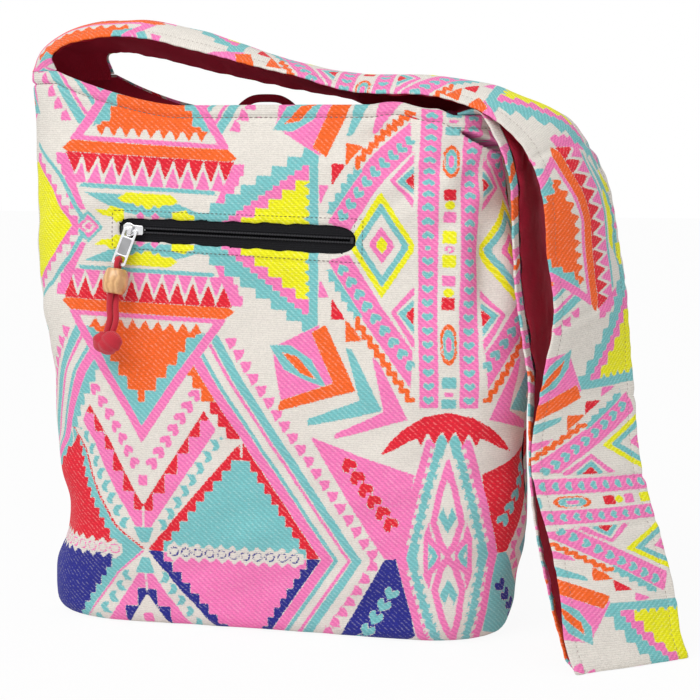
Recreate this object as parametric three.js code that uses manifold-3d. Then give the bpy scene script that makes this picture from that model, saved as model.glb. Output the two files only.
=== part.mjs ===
// A slouchy cotton shoulder bag: a woven outer body with a lining, a wide lined strap that starts at one
// side of the mouth and hangs in a loop at the other side, and a zipped welt pocket with a beaded pull.
// Millimetres, +Z up. The origin is the middle of the base on the floor, and the pocket faces -Y.
import * as THREE from 'three';
import { mergeVertices } from 'three/addons/utils/BufferGeometryUtils.js';
import Module from 'manifold-3d';

const wasm = await Module();
wasm.setup();

// Body
const BODY_WIDTH = 374;
const BODY_HEIGHT = 400;
const BODY_DEPTH = 100;
const END_ROUND = 62;
const BOTTOM_RADIUS = 12;
const FABRIC = 1.6;
const LINING = 1.2;
const LINING_SLACK = 8;
const LINING_RADIUS = 6;
const CLEARANCE = 0.3;

// Mouth hem: it climbs to the strap at the left seam, and droops at the right one
const LEFT_RISE = 26;
const FRONT_SWEEP = 100;
const BACK_SWEEP = 52;
const RIGHT_DROP = 8;
const RIGHT_ROOT = 64;
const RIGHT_SWEEP = 40;
const HEM_CURVE = 1.5;

// Strap
const STRAP_WIDTH = 95;
const STRAP_ROOT_FRONT = 48;
const STRAP_ROOT_BACK = 68;
const STRAP_HEM = 5;
const STRAP_ARCH = 46;
const STRAP_REACH = 91;

// Welt pocket and its zip, measured on the front panel
const ZIP_HEIGHT = 305;
const ZIP_TILT = 2;
const ZIP_MIDDLE = -20;
const ZIP_LENGTH = 182;
const ZIP_FLAT = 32;
const SLOT_LEFT_HEIGHT = 17;
const SLOT_RIGHT_HEIGHT = 21;
const TAPE_WIDTH = 14;
const TAPE_THICKNESS = 0.8;
const TAPE_END = 7;
const COIL_RADIUS = 0.8;
const COIL_GAP = 1.6;
const STOP_LENGTH = 2.4;
const STOP_INSET = 1.6;
const POCKET_DEPTH = 140;
const POCKET_LAYER = 0.8;
const POCKET_ROOM = 2.4;
const POCKET_STEPS = 5;

// Slider, pull tab and the beaded cord on it
const SLIDER_LENGTH = 13;
const SLIDER_HEIGHT = 9.6;
const SLIDER_PLATE = 1.5;
const SLIDER_POST = 1;
const BRIDGE_SPAN = 7.6;
const BRIDGE_BAR = 1.2;
const BRIDGE_WIDTH = 2.4;
const BRIDGE_ROOM = 3;
const TAB_LENGTH = 29;
const TAB_WIDTH = 11;
const TAB_BAR = 1.9;
const TAB_FOOT = 2.4;
const TAB_THICKNESS = 1.2;
const PULL_LEAN = 19;
const PULL_TILT = 11;
const TASSEL_LEAN = 7;
const CORD_DIAMETER = 4;
const BEAD_DIAMETER = 19.5;
const BEAD_LENGTH = 19;
const BEAD_BORE = 9.8;
const BEAD_DROP = 2.6;
const KNOT_DIAMETER = 23;
const CORD_DROP = 27;
const CORD_SWAY = 1;
const KNOT_SHIFT = 2;

// Closure loop at the middle of the back hem
const LOOP_SPAN = 46;
const LOOP_RISE = 6;
const LOOP_SEWN = 14;
const LOOP_WIDTH = 5;
const LOOP_THICKNESS = 1.4;
const LOOP_MIDDLE = -17;
const LOOP_LEAN = 2;

// Colours as the photograph shows them
const CREAM = 0xe8e4da;
const MAROON = 0x7a1526;
const BLACK = 0x17171a;
const SILVER = 0xc9ccd0;
const WOOD = 0xc9955c;
const RED = 0xb8203a;

const HALF_WIDTH = BODY_WIDTH / 2;
const HALF_DEPTH = BODY_DEPTH / 2;
const BEND_ROWS = 3;
const WALL_ROWS = 11;
const END_COLUMNS = 5;
const FLAT_COLUMNS = 10;
const SEARCH_STEPS = 24;

const bag = new THREE.Group();

const vector = (x, y, z) => new THREE.Vector3(x, y, z);

const radians = THREE.MathUtils.degToRad;

function addPart(parent, name, geometry, color, roughness, metalness = 0) {
  const material = new THREE.MeshStandardMaterial({ color, roughness, metalness });
  const mesh = new THREE.Mesh(geometry, material);
  mesh.name = name;
  parent.add(mesh);
  return mesh;
}

// Smooth curve through stations [place, value] that never overshoots them
function through(stations) {
  const slopes = stations.map((station, i) => {
    if (i === 0 || i === stations.length - 1) return 0;
    const before = (station[1] - stations[i - 1][1]) / (station[0] - stations[i - 1][0]);
    const after = (stations[i + 1][1] - station[1]) / (stations[i + 1][0] - station[0]);
    return before * after <= 0 ? 0 : (2 * before * after) / (before + after);
  });
  return (place) => {
    const last = stations.length - 2;
    const at = THREE.MathUtils.clamp(stations.findIndex((station) => station[0] > place) - 1, 0, last);
    const i = place >= stations[last + 1][0] ? last : at;
    const span = stations[i + 1][0] - stations[i][0];
    const t = THREE.MathUtils.clamp((place - stations[i][0]) / span, 0, 1);
    const value = (1 + 2 * t) * (1 - t) ** 2 * stations[i][1] + t * t * (3 - 2 * t) * stations[i + 1][1];
    const lean = t * (1 - t) ** 2 * slopes[i] - t * t * (1 - t) * slopes[i + 1];
    return value + span * lean;
  };
}

// Half sizes of the slouching body, as shares of the nominal ones, by share of the height; the front is
// upright around the zip
const leftShare = through([
  [0, 0.985], [0.08, 0.975], [0.2, 0.918], [0.35, 0.945], [0.55, 0.995], [0.8, 1.03], [1, 1.03],
]);
const rightShare = through([
  [0, 0.955], [0.08, 0.995], [0.22, 1.03], [0.4, 1.025], [0.6, 0.99], [0.8, 0.95], [1, 0.92],
]);
const flatFrom = (ZIP_HEIGHT - ZIP_FLAT) / BODY_HEIGHT;
const flatTo = (ZIP_HEIGHT + ZIP_FLAT) / BODY_HEIGHT;
const depthShare = through([
  [0, 0.86], [0.08, 0.93], [0.28, 1.02], [0.45, 1.02], [flatFrom, 0.92], [flatTo, 0.92], [1, 0.8],
]);

// A point of the body's outline at a height, from the left seam (0) by the front or back to the right one (1)
function outline(q, side, z, inset) {
  const level = z / BODY_HEIGHT;
  const left = HALF_WIDTH * leftShare(level) - inset;
  const right = HALF_WIDTH * rightShare(level) - inset;
  const depth = HALF_DEPTH * depthShare(level) - inset;
  const round = END_ROUND - inset;
  if (q < 0.25) {
    const turn = q * 2 * Math.PI;
    return vector(round - left - round * Math.cos(turn), side * depth * Math.sin(turn), z);
  }
  if (q <= 0.75) {
    return vector(THREE.MathUtils.lerp(round - left, right - round, (q - 0.25) * 2), side * depth, z);
  }
  const turn = (q - 0.75) * 2 * Math.PI;
  return vector(right - round + round * Math.sin(turn), side * depth * Math.cos(turn), z);
}

// Distance along the mouth from a seam to the place q
function fromSeam(q, atLeft) {
  const start = atLeft ? 0 : 1;
  let length = 0;
  let last = outline(start, -1, BODY_HEIGHT, 0);
  for (let i = 1; i <= SEARCH_STEPS; i += 1) {
    const next = outline(THREE.MathUtils.lerp(start, q, i / SEARCH_STEPS), -1, BODY_HEIGHT, 0);
    length += next.distanceTo(last);
    last = next;
  }
  return length;
}

// The place q that lies a given distance from a seam
function placeFromSeam(distance, atLeft) {
  let near = 0;
  let far = 0.5;
  for (let i = 0; i < SEARCH_STEPS; i += 1) {
    const middle = (near + far) / 2;
    if (fromSeam(atLeft ? middle : 1 - middle, atLeft) < distance) near = middle;
    else far = middle;
  }
  return atLeft ? near : 1 - near;
}

function mouthHeight(q, side) {
  const { clamp, smoothstep } = THREE.MathUtils;
  const root = side < 0 ? STRAP_ROOT_FRONT : STRAP_ROOT_BACK;
  const sweep = side < 0 ? FRONT_SWEEP : BACK_SWEEP;
  const climb = 1 - clamp((fromSeam(q, true) - root) / sweep, 0, 1);
  const drop = 1 - smoothstep(fromSeam(q, false), RIGHT_ROOT, RIGHT_ROOT + RIGHT_SWEEP);
  return BODY_HEIGHT + LEFT_RISE * climb ** HEM_CURVE - RIGHT_DROP * drop;
}

// Places q of the columns of a wall panel, closer at the rounded ends
function columnPlaces() {
  const places = [];
  for (let i = 0; i < END_COLUMNS; i += 1) places.push((0.25 * i) / END_COLUMNS);
  for (let i = 0; i <= FLAT_COLUMNS; i += 1) places.push(0.25 + (0.5 * i) / FLAT_COLUMNS);
  for (let i = 1; i <= END_COLUMNS; i += 1) places.push(0.75 + (0.25 * i) / END_COLUMNS);
  return places;
}

const COLUMNS = columnPlaces();
const FRONT_MOUTH = COLUMNS.map((q) => mouthHeight(q, -1));
const BACK_MOUTH = COLUMNS.map((q) => mouthHeight(q, 1));

// One face of a wall: it turns in at the base and follows the body up to the mouth
function wallFace(side, insetAt, floor, radius) {
  const rows = [];
  const mouth = side < 0 ? FRONT_MOUTH : BACK_MOUTH;
  for (let j = 0; j <= BEND_ROWS; j += 1) {
    const turn = ((j / BEND_ROWS) * Math.PI) / 2;
    const z = floor + radius * (1 - Math.cos(turn));
    const inset = insetAt(z) + radius * (1 - Math.sin(turn));
    rows.push(COLUMNS.map((q) => outline(q, side, z, inset)));
  }
  for (let j = 1; j <= WALL_ROWS; j += 1) {
    const low = floor + radius;
    rows.push(COLUMNS.map((q, i) => {
      const z = THREE.MathUtils.lerp(low, mouth[i], j / WALL_ROWS);
      return outline(q, side, z, insetAt(z));
    }));
  }
  return rows;
}

// A closed sheet between two grids of points; the first grid's columns cross rows give its outward side
function sheet(outer, inner) {
  const rows = outer.length;
  const columns = outer[0].length;
  const positions = [...outer.flat(), ...inner.flat()].flatMap((p) => [p.x, p.y, p.z]);
  const index = [];
  const at = (layer, j, i) => (layer * rows + j) * columns + i;
  const quad = (a, b, c, d) => index.push(a, b, c, a, c, d);
  for (let j = 0; j < rows - 1; j += 1) {
    for (let i = 0; i < columns - 1; i += 1) {
      quad(at(0, j, i), at(0, j, i + 1), at(0, j + 1, i + 1), at(0, j + 1, i));
      quad(at(1, j, i), at(1, j + 1, i), at(1, j + 1, i + 1), at(1, j, i + 1));
    }
  }
  for (let i = 0; i < columns - 1; i += 1) {
    quad(at(1, 0, i), at(1, 0, i + 1), at(0, 0, i + 1), at(0, 0, i));
    quad(at(0, rows - 1, i), at(0, rows - 1, i + 1), at(1, rows - 1, i + 1), at(1, rows - 1, i));
  }
  for (let j = 0; j < rows - 1; j += 1) {
    quad(at(0, j, 0), at(0, j + 1, 0), at(1, j + 1, 0), at(1, j, 0));
    quad(at(1, j, columns - 1), at(1, j + 1, columns - 1), at(0, j + 1, columns - 1), at(0, j, columns - 1));
  }
  const geometry = new THREE.BufferGeometry();
  geometry.setAttribute('position', new THREE.Float32BufferAttribute(positions, 3));
  geometry.setIndex(index);
  return geometry;
}

// A wall panel between two faces; on the back the columns run the other way, to keep its outward side out
function wallPanel(side, outerFace, innerFace) {
  const ordered = (rows) => (side < 0 ? rows : rows.map((row) => [...row].reverse()));
  return sheet(ordered(outerFace), ordered(innerFace));
}

function toSolid(geometry) {
  const bare = geometry.index ? geometry.clone() : geometry;
  bare.deleteAttribute('normal');
  bare.deleteAttribute('uv');
  const merged = mergeVertices(bare, 1e-4);
  return new wasm.Manifold(new wasm.Mesh({
    numProp: 3,
    vertProperties: new Float32Array(merged.attributes.position.array),
    triVerts: new Uint32Array(merged.index.array),
  }));
}

function toGeometry(solid) {
  const mesh = solid.getMesh();
  const geometry = new THREE.BufferGeometry();
  geometry.setAttribute('position', new THREE.Float32BufferAttribute(mesh.vertProperties, 3));
  geometry.setIndex([...mesh.triVerts]);
  return geometry;
}

// A flat shape drawn in X and Z, given a thickness in Y from back to front
function plate(shape, front, back, curveSegments = 2) {
  const depth = back - front;
  const geometry = new THREE.ExtrudeGeometry(shape, { depth, bevelEnabled: false, curveSegments });
  geometry.rotateX(Math.PI / 2);
  geometry.translate(0, back, 0);
  return geometry;
}

function roundedBox(left, right, bottom, top, radius) {
  const shape = new THREE.Shape();
  shape.moveTo(left + radius, bottom);
  shape.lineTo(right - radius, bottom);
  shape.absarc(right - radius, bottom + radius, radius, -Math.PI / 2, 0, false);
  shape.lineTo(right, top - radius);
  shape.absarc(right - radius, top - radius, radius, 0, Math.PI / 2, false);
  shape.lineTo(left + radius, top);
  shape.absarc(left + radius, top - radius, radius, Math.PI / 2, Math.PI, false);
  shape.lineTo(left, bottom + radius);
  shape.absarc(left + radius, bottom + radius, radius, Math.PI, Math.PI * 1.5, false);
  return shape;
}

// Front and back panels, base, and the lining inside them
const ZIP_LEFT = ZIP_MIDDLE - ZIP_LENGTH / 2;
const ZIP_RIGHT = ZIP_MIDDLE + ZIP_LENGTH / 2;
const FRONT_FACE = outline(0.5, -1, ZIP_HEIGHT, 0).y;

// The zip is sewn at a slight tilt about its middle
function tilted(geometry) {
  geometry.translate(-ZIP_MIDDLE, 0, -ZIP_HEIGHT);
  geometry.rotateY(radians(ZIP_TILT));
  geometry.translate(ZIP_MIDDLE, 0, ZIP_HEIGHT);
  return geometry;
}

function slotCutter() {
  const low = -SLOT_LEFT_HEIGHT / 2;
  const tall = SLOT_RIGHT_HEIGHT / 2;
  const lean = 0.3;
  const shape = new THREE.Shape();
  shape.moveTo(ZIP_LEFT + SLOT_LEFT_HEIGHT * lean, low);
  shape.lineTo(ZIP_RIGHT - SLOT_RIGHT_HEIGHT * lean, -tall);
  shape.quadraticCurveTo(ZIP_RIGHT, -tall, ZIP_RIGHT, 0);
  shape.quadraticCurveTo(ZIP_RIGHT, tall, ZIP_RIGHT - SLOT_RIGHT_HEIGHT * lean, tall);
  shape.lineTo(ZIP_LEFT + SLOT_LEFT_HEIGHT * lean, -low);
  shape.quadraticCurveTo(ZIP_LEFT, -low, ZIP_LEFT, 0);
  shape.quadraticCurveTo(ZIP_LEFT, low, ZIP_LEFT + SLOT_LEFT_HEIGHT * lean, low);
  const cutter = plate(shape, FRONT_FACE - HALF_DEPTH / 2, FRONT_FACE + HALF_DEPTH / 2, 6);
  cutter.translate(0, 0, ZIP_HEIGHT);
  return tilted(cutter);
}

function addBody() {
  const outerInset = () => 0;
  const innerInset = () => FABRIC;
  const panel = (side) => wallPanel(
    side,
    wallFace(side, outerInset, 0, BOTTOM_RADIUS),
    wallFace(side, innerInset, FABRIC, BOTTOM_RADIUS - FABRIC),
  );
  const front = toSolid(panel(-1)).subtract(toSolid(slotCutter()));
  addPart(bag, 'front_panel', toGeometry(front), CREAM, 0.9);
  addPart(bag, 'back_panel', seamed(panel(1)), CREAM, 0.9);
  addPart(bag, 'base_panel', floorPlate(BOTTOM_RADIUS + CLEARANCE, 0, FABRIC), CREAM, 0.9);
}

// The two panels part at the seams by a hair
function seamed(geometry) {
  geometry.translate(0, CLEARANCE, 0);
  return geometry;
}

// A flat plate inside the body's outline at the base
function floorPlate(inset, bottom, top) {
  const shape = new THREE.Shape();
  const front = COLUMNS.map((q) => outline(q, -1, 0, inset));
  const back = COLUMNS.map((q) => outline(q, 1, 0, inset)).reverse();
  [...front, ...back.slice(1, -1)].forEach((p, i) => {
    if (i === 0) shape.moveTo(p.x, p.y);
    else shape.lineTo(p.x, p.y);
  });
  const geometry = new THREE.ExtrudeGeometry(shape, { depth: top - bottom, bevelEnabled: false });
  geometry.translate(0, 0, bottom);
  return geometry;
}

// The lining lies on the fabric at the hem and hangs slack below it
const liningInset = (z) => {
  const hem = BODY_HEIGHT - RIGHT_DROP - FABRIC;
  const slack = LINING_SLACK * (1 - THREE.MathUtils.smoothstep(z, ZIP_HEIGHT + TAPE_WIDTH * 2, hem));
  return FABRIC + CLEARANCE + slack;
};

function addLining() {
  const floor = FABRIC + CLEARANCE;
  const innerInset = (z) => liningInset(z) + LINING;
  const panel = (side) => wallPanel(
    side,
    wallFace(side, liningInset, floor, LINING_RADIUS),
    wallFace(side, innerInset, floor + LINING, LINING_RADIUS - LINING),
  );
  addPart(bag, 'lining_front', panel(-1), MAROON, 0.85);
  addPart(bag, 'lining_back', seamed(panel(1)), MAROON, 0.85);
  const rim = liningInset(0) + LINING_RADIUS + CLEARANCE;
  addPart(bag, 'lining_base', floorPlate(rim, floor, floor + LINING), MAROON, 0.85);
}

// Strap stations: middle of the width, the way the width points (yaw), how much higher its back hem is (tip),
// and how far the middle of the width bows out of the straight line between the hems, in strap widths
function station(x, y, z, yaw, tip, bow) {
  const chord = 1 - (8 / 3) * bow.lengthSq();
  const level = Math.sqrt(Math.max(chord * chord - tip * tip, 0));
  const across = vector(Math.cos(radians(yaw)) * level, Math.sin(radians(yaw)) * level, tip);
  const middle = vector(x, y, z);
  return {
    front: middle.clone().addScaledVector(across, -STRAP_WIDTH / 2),
    middle: middle.clone().addScaledVector(bow, STRAP_WIDTH),
    back: middle.clone().addScaledVector(across, STRAP_WIDTH / 2),
  };
}

// The strap's root follows the mouth around a side seam
function rootStation(front, back, atLeft) {
  const edge = (distance, side) => {
    const q = placeFromSeam(distance, atLeft);
    const height = mouthHeight(q, side);
    return outline(q, side, height, 0).setZ(height + CLEARANCE);
  };
  return { front: edge(front, -1), middle: edge(0, -1), back: edge(back, 1) };
}

function strapStations() {
  const top = BODY_HEIGHT;
  const side = HALF_WIDTH;
  const reach = STRAP_REACH;
  const over = (share, rise, yaw, tip, bow) => (
    station(share * side, 0, top + rise * STRAP_ARCH, yaw, tip, bow)
  );
  const beside = (out, y, share, yaw, tip, bow) => (
    station(side + out * reach, y * reach, share * top, yaw, tip, bow)
  );
  const floor = (out, y, yaw) => station(side + out * reach, y * reach, 0, yaw, 0, vector(0, 0, 0));
  return [
    rootStation(STRAP_ROOT_FRONT, STRAP_ROOT_BACK, true),
    over(-0.835, 0.848, 77, 0.032, vector(-0.253, 0, 0.063)),
    over(-0.76, 1, 84, -0.042, vector(-0.105, 0, 0.158)),
    over(-0.556, 0.978, 90, -0.126, vector(0, 0, 0.2)),
    over(-0.289, 0.739, 90, -0.137, vector(0, 0, 0.211)),
    over(0.112, 0.37, 90, -0.137, vector(0, 0, 0.158)),
    over(0.353, 0.152, 90, -0.053, vector(0, 0, 0.179)),
    over(0.7, 0.109, 90, -0.021, vector(0, 0, 0.168)),
    beside(-0.198, -0.044, 0.995, 86, 0.105, vector(0.063, 0, 0.147)),
    beside(0.176, -0.055, 0.952, 75, 0.253, vector(0.105, 0, 0.095)),
    beside(0.429, -0.066, 0.855, 65, 0.168, vector(0.095, -0.032, 0.021)),
    beside(0.516, -0.077, 0.742, 61, 0.084, vector(0.063, -0.032, 0)),
    beside(0.582, -0.088, 0.634, 59, 0.042, vector(0.053, -0.032, 0)),
    beside(0.571, -0.143, 0.52, 51, 0.042, vector(0.032, -0.042, 0)),
    beside(0.582, -0.297, 0.352, 37, -0.042, vector(0.021, -0.032, 0)),
    beside(0.769, -0.451, 0.21, 35, -0.021, vector(0.021, -0.032, 0)),
    beside(0.868, -0.582, 0.126, 33, -0.053, vector(0.021, -0.032, 0)),
    beside(0.923, -0.659, 0.05, 32, -0.053, vector(0.011, -0.021, 0)),
    floor(1, -0.67, 35),
    floor(0.846, -0.396, 52),
    floor(0.659, -0.176, 68),
    beside(0.538, -0.077, 0.055, 72, 0, vector(-0.021, 0.011, 0)),
    beside(0.385, -0.011, 0.19, 73, 0, vector(-0.021, 0, 0)),
    beside(0.275, 0, 0.335, 76, 0, vector(-0.011, 0, 0)),
    beside(0.198, 0.011, 0.56, 80, 0, vector(0, 0, 0)),
    beside(0.11, 0.011, 0.73, 84, 0, vector(0.021, 0, 0)),
    beside(0, 0, 0.868, 85, 0.021, vector(0.053, 0, 0)),
    beside(-0.154, 0, 0.945, 87, 0.032, vector(0.126, 0, 0.032)),
    beside(-0.319, 0, 0.9875, 90, 0, vector(0.2, 0, 0.042)),
    rootStation(STRAP_WIDTH / 2, STRAP_WIDTH / 2, false),
  ];
}

const STRAP_ROWS = 76;
const STRAP_COLUMNS = 5;
const stations = strapStations();
const strapLine = (part) => new THREE.CatmullRomCurve3(stations.map((s) => s[part]), false, 'centripetal');
const strapFront = strapLine('front');
const strapMiddle = strapLine('middle');
const strapBack = strapLine('back');

// A point of the strap's outer face, t along it and w across it from the front hem; it lies on the floor
function strapPoint(t, w) {
  const bow = 4 * w * (1 - w);
  const point = strapFront.getPoint(t).multiplyScalar((1 - w) * (1 - 2 * w))
    .addScaledVector(strapMiddle.getPoint(t), bow)
    .addScaledVector(strapBack.getPoint(t), w * (2 * w - 1));
  return point.setZ(Math.max(point.z, 0));
}

// The strap's face moved inwards by a depth, at the given places across it; its sewn ends are cut level
function strapFace(depth, places) {
  const step = 1e-3;
  const rows = [];
  for (let j = 0; j <= STRAP_ROWS; j += 1) {
    const t = j / STRAP_ROWS;
    const sewn = j === 0 || j === STRAP_ROWS;
    rows.push(places.map((w) => {
      const along = strapPoint(Math.min(t + step, 1), w).sub(strapPoint(Math.max(t - step, 0), w));
      const across = strapPoint(t, w + step).sub(strapPoint(t, w - step));
      const outward = along.cross(across);
      if (sewn) outward.setZ(0);
      return strapPoint(t, w).addScaledVector(outward.normalize(), -depth);
    }));
  }
  return rows;
}

function addStrap() {
  const hem = STRAP_HEM / STRAP_WIDTH;
  const inside = [];
  for (let i = 0; i <= STRAP_COLUMNS; i += 1) {
    inside.push(1 - THREE.MathUtils.lerp(hem, 1 - hem, i / STRAP_COLUMNS));
  }
  const across = [1, ...inside, 0];
  const near = FABRIC + CLEARANCE;
  const outer = sheet(strapFace(0, across), strapFace(FABRIC, across));
  addPart(bag, 'shoulder_strap', outer, CREAM, 0.9);
  const inner = sheet(strapFace(near, inside), strapFace(near + LINING, inside));
  addPart(bag, 'strap_lining', inner, MAROON, 0.85);
}

// Zip: two tapes behind the slot, a coil on the inner edge of each, and a stop at each end
const TAPE_FRONT = FRONT_FACE + FABRIC + CLEARANCE;
const TAPE_BACK = TAPE_FRONT + TAPE_THICKNESS;
const COIL_CENTRE = TAPE_FRONT - CLEARANCE - COIL_RADIUS;
const COIL_FRONT = COIL_CENTRE - COIL_RADIUS;
const CHAIN_LEFT = ZIP_LEFT + STOP_INSET;
const CHAIN_RIGHT = ZIP_RIGHT - STOP_INSET;

function addZip() {
  const left = ZIP_LEFT - TAPE_END;
  const right = ZIP_RIGHT + TAPE_END;
  const near = COIL_GAP / 2;
  const coilLength = CHAIN_RIGHT - CHAIN_LEFT - 2 * (STOP_LENGTH + CLEARANCE);
  [['upper', 1], ['lower', -1]].forEach(([which, up]) => {
    const ends = [up * near, up * (near + TAPE_WIDTH)].sort((a, b) => a - b);
    const shape = roundedBox(left, right, ends[0], ends[1], TAPE_THICKNESS);
    const tape = plate(shape, TAPE_FRONT, TAPE_BACK);
    tape.translate(0, 0, ZIP_HEIGHT);
    addPart(bag, `zip_tape_${which}`, tilted(tape), BLACK, 0.8);
    const coil = new THREE.CylinderGeometry(COIL_RADIUS, COIL_RADIUS, coilLength, 10);
    coil.rotateZ(Math.PI / 2);
    coil.translate(ZIP_MIDDLE, COIL_CENTRE, ZIP_HEIGHT + up * (near + COIL_RADIUS));
    addPart(bag, `zip_coil_${which}`, tilted(coil), BLACK, 0.5);
  });
  const tall = near + 2 * COIL_RADIUS;
  [['left', CHAIN_LEFT, 0], ['right', CHAIN_RIGHT, -STOP_LENGTH]].forEach(([which, x, shift]) => {
    const shape = roundedBox(x + shift, x + shift + STOP_LENGTH, -tall, tall, TAPE_THICKNESS / 2);
    const stop = plate(shape, COIL_FRONT, TAPE_FRONT - CLEARANCE);
    stop.translate(0, 0, ZIP_HEIGHT);
    addPart(bag, `zip_stop_${which}`, tilted(stop), BLACK, 0.5);
  });
}

// Pocket bag: one length of cloth folded at its bottom, hung from the two tapes behind the bulging front
function addPocketBag() {
  const behindTape = TAPE_BACK + CLEARANCE - FRONT_FACE;
  const rear = behindTape + POCKET_LAYER + POCKET_ROOM;
  const top = ZIP_HEIGHT + COIL_GAP / 2 + TAPE_WIDTH;
  const frontTop = ZIP_HEIGHT - SLIDER_HEIGHT / 2 - SLIDER_PLATE;
  const bottom = ZIP_HEIGHT - POCKET_DEPTH;
  const fold = bottom + POCKET_LAYER;
  const line = (from, to, inset) => {
    const points = [];
    for (let i = 0; i <= POCKET_STEPS; i += 1) {
      const z = THREE.MathUtils.lerp(from, to, i / POCKET_STEPS);
      points.push(new THREE.Vector2(outline(0.5, -1, z, inset).y, z));
    }
    return points;
  };
  const shape = new THREE.Shape([
    ...line(frontTop, bottom, behindTape),
    ...line(bottom, top, rear + POCKET_LAYER),
    ...line(top, fold, rear),
    ...line(fold, frontTop, behindTape + POCKET_LAYER),
  ]);
  const width = ZIP_LENGTH + 2 * TAPE_END;
  const geometry = new THREE.ExtrudeGeometry(shape, { depth: width, bevelEnabled: false });
  geometry.rotateX(Math.PI / 2);
  geometry.rotateZ(Math.PI / 2);
  geometry.translate(ZIP_MIDDLE - width / 2, 0, 0);
  addPart(bag, 'pocket_bag', tilted(geometry), MAROON, 0.85);
}

// Slider: two plates joined by a thin post between the coils, and a bridge for the tab on the front plate
const PLATE_BACK = COIL_FRONT - CLEARANCE;
const PLATE_FRONT = PLATE_BACK - SLIDER_PLATE;
const SLIDER_START = CHAIN_LEFT + STOP_LENGTH + CLEARANCE + SLIDER_LENGTH / 2;
const HINGE_FRONT = PLATE_FRONT - BRIDGE_ROOM / 2;
const SLIDER_X = ZIP_MIDDLE + (SLIDER_START - ZIP_MIDDLE) * Math.cos(radians(ZIP_TILT));
const SLIDER_Z = ZIP_HEIGHT - (SLIDER_START - ZIP_MIDDLE) * Math.sin(radians(ZIP_TILT));

function sliderOutline() {
  const half = SLIDER_HEIGHT / 2;
  const length = SLIDER_LENGTH / 2;
  const shape = new THREE.Shape();
  shape.moveTo(-length, -half * 0.55);
  shape.lineTo(-length * 0.5, -half);
  shape.lineTo(length * 0.45, -half * 0.95);
  shape.lineTo(length, -half * 0.62);
  shape.lineTo(length * 0.78, 0);
  shape.lineTo(length, half * 0.62);
  shape.lineTo(length * 0.45, half * 0.95);
  shape.lineTo(-length * 0.5, half);
  shape.lineTo(-length, half * 0.55);
  return shape;
}

// The bridge stands on the front plate, astride the hinge line of the tab
function bridge() {
  const half = BRIDGE_SPAN / 2;
  const sunk = SLIDER_PLATE / 2;
  const shape = new THREE.Shape();
  shape.moveTo(-half, -sunk);
  shape.lineTo(-half, BRIDGE_ROOM);
  shape.quadraticCurveTo(-half, BRIDGE_ROOM + BRIDGE_BAR, -half + BRIDGE_BAR, BRIDGE_ROOM + BRIDGE_BAR);
  shape.lineTo(half - BRIDGE_BAR, BRIDGE_ROOM + BRIDGE_BAR);
  shape.quadraticCurveTo(half, BRIDGE_ROOM + BRIDGE_BAR, half, BRIDGE_ROOM);
  shape.lineTo(half, -sunk);
  shape.lineTo(half - BRIDGE_BAR, -sunk);
  shape.lineTo(half - BRIDGE_BAR, BRIDGE_ROOM);
  shape.lineTo(-half + BRIDGE_BAR, BRIDGE_ROOM);
  shape.lineTo(-half + BRIDGE_BAR, -sunk);
  const depth = BRIDGE_WIDTH;
  const geometry = new THREE.ExtrudeGeometry(shape, { depth, bevelEnabled: false, curveSegments: 3 });
  geometry.translate(0, 0, -BRIDGE_WIDTH / 2);
  geometry.applyMatrix4(new THREE.Matrix4().makeBasis(vector(0, 0, 1), vector(0, -1, 0), vector(1, 0, 0)));
  return geometry;
}

function addSlider() {
  const post = new THREE.BoxGeometry(SLIDER_LENGTH * 0.45, 1, SLIDER_POST);
  const rear = TAPE_BACK + CLEARANCE;
  const reach = rear - PLATE_BACK + SLIDER_PLATE;
  post.scale(1, reach, 1);
  post.translate(0, PLATE_BACK - SLIDER_PLATE / 2 + reach / 2, 0);
  const arch = bridge();
  arch.rotateY(radians(PULL_LEAN - ZIP_TILT));
  arch.translate(0, PLATE_FRONT, 0);
  const solid = toSolid(plate(sliderOutline(), PLATE_FRONT, PLATE_BACK))
    .add(toSolid(post))
    .add(toSolid(plate(sliderOutline(), rear, rear + SLIDER_PLATE)))
    .add(toSolid(arch));
  const slider = addPart(bag, 'zip_slider', toGeometry(solid), SILVER, 0.3, 1);
  slider.position.set(SLIDER_X, 0, SLIDER_Z);
  slider.rotation.y = radians(ZIP_TILT);
}

// A group that hangs from a point: its hinge line is its X, and what hangs goes down its -Z
function hangingGroup(at, lean) {
  const group = new THREE.Group();
  group.position.copy(at);
  group.rotation.order = 'YXZ';
  group.rotation.y = radians(lean);
  group.rotation.x = -radians(PULL_TILT);
  group.updateMatrix();
  bag.add(group);
  return group;
}

function addTab(pull) {
  const half = TAB_WIDTH / 2;
  const top = TAB_BAR / 2;
  const foot = TAB_BAR / 2 - TAB_LENGTH;
  const shape = roundedBox(-half, half, foot, top, TAB_BAR * 0.8);
  shape.holes.push(roundedBox(-half + TAB_BAR, half - TAB_BAR, foot + TAB_FOOT, -TAB_BAR / 2, TAB_BAR * 0.5));
  addPart(pull, 'pull_tab', plate(shape, -TAB_THICKNESS / 2, TAB_THICKNESS / 2), SILVER, 0.3, 1);
}

// Cord, bead and knot, measured down from the middle of the tab's foot
const FOOT_DROP = TAB_LENGTH - TAB_BAR / 2 - TAB_FOOT / 2;
const FOOT_TOP = TAB_FOOT / 2;
const BEAD_TOP = -TAB_FOOT / 2 - BEAD_DROP;
const BEAD_BOTTOM = BEAD_TOP - BEAD_LENGTH;
const KNOT_TOP = BEAD_BOTTOM - CORD_DROP;

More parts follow.
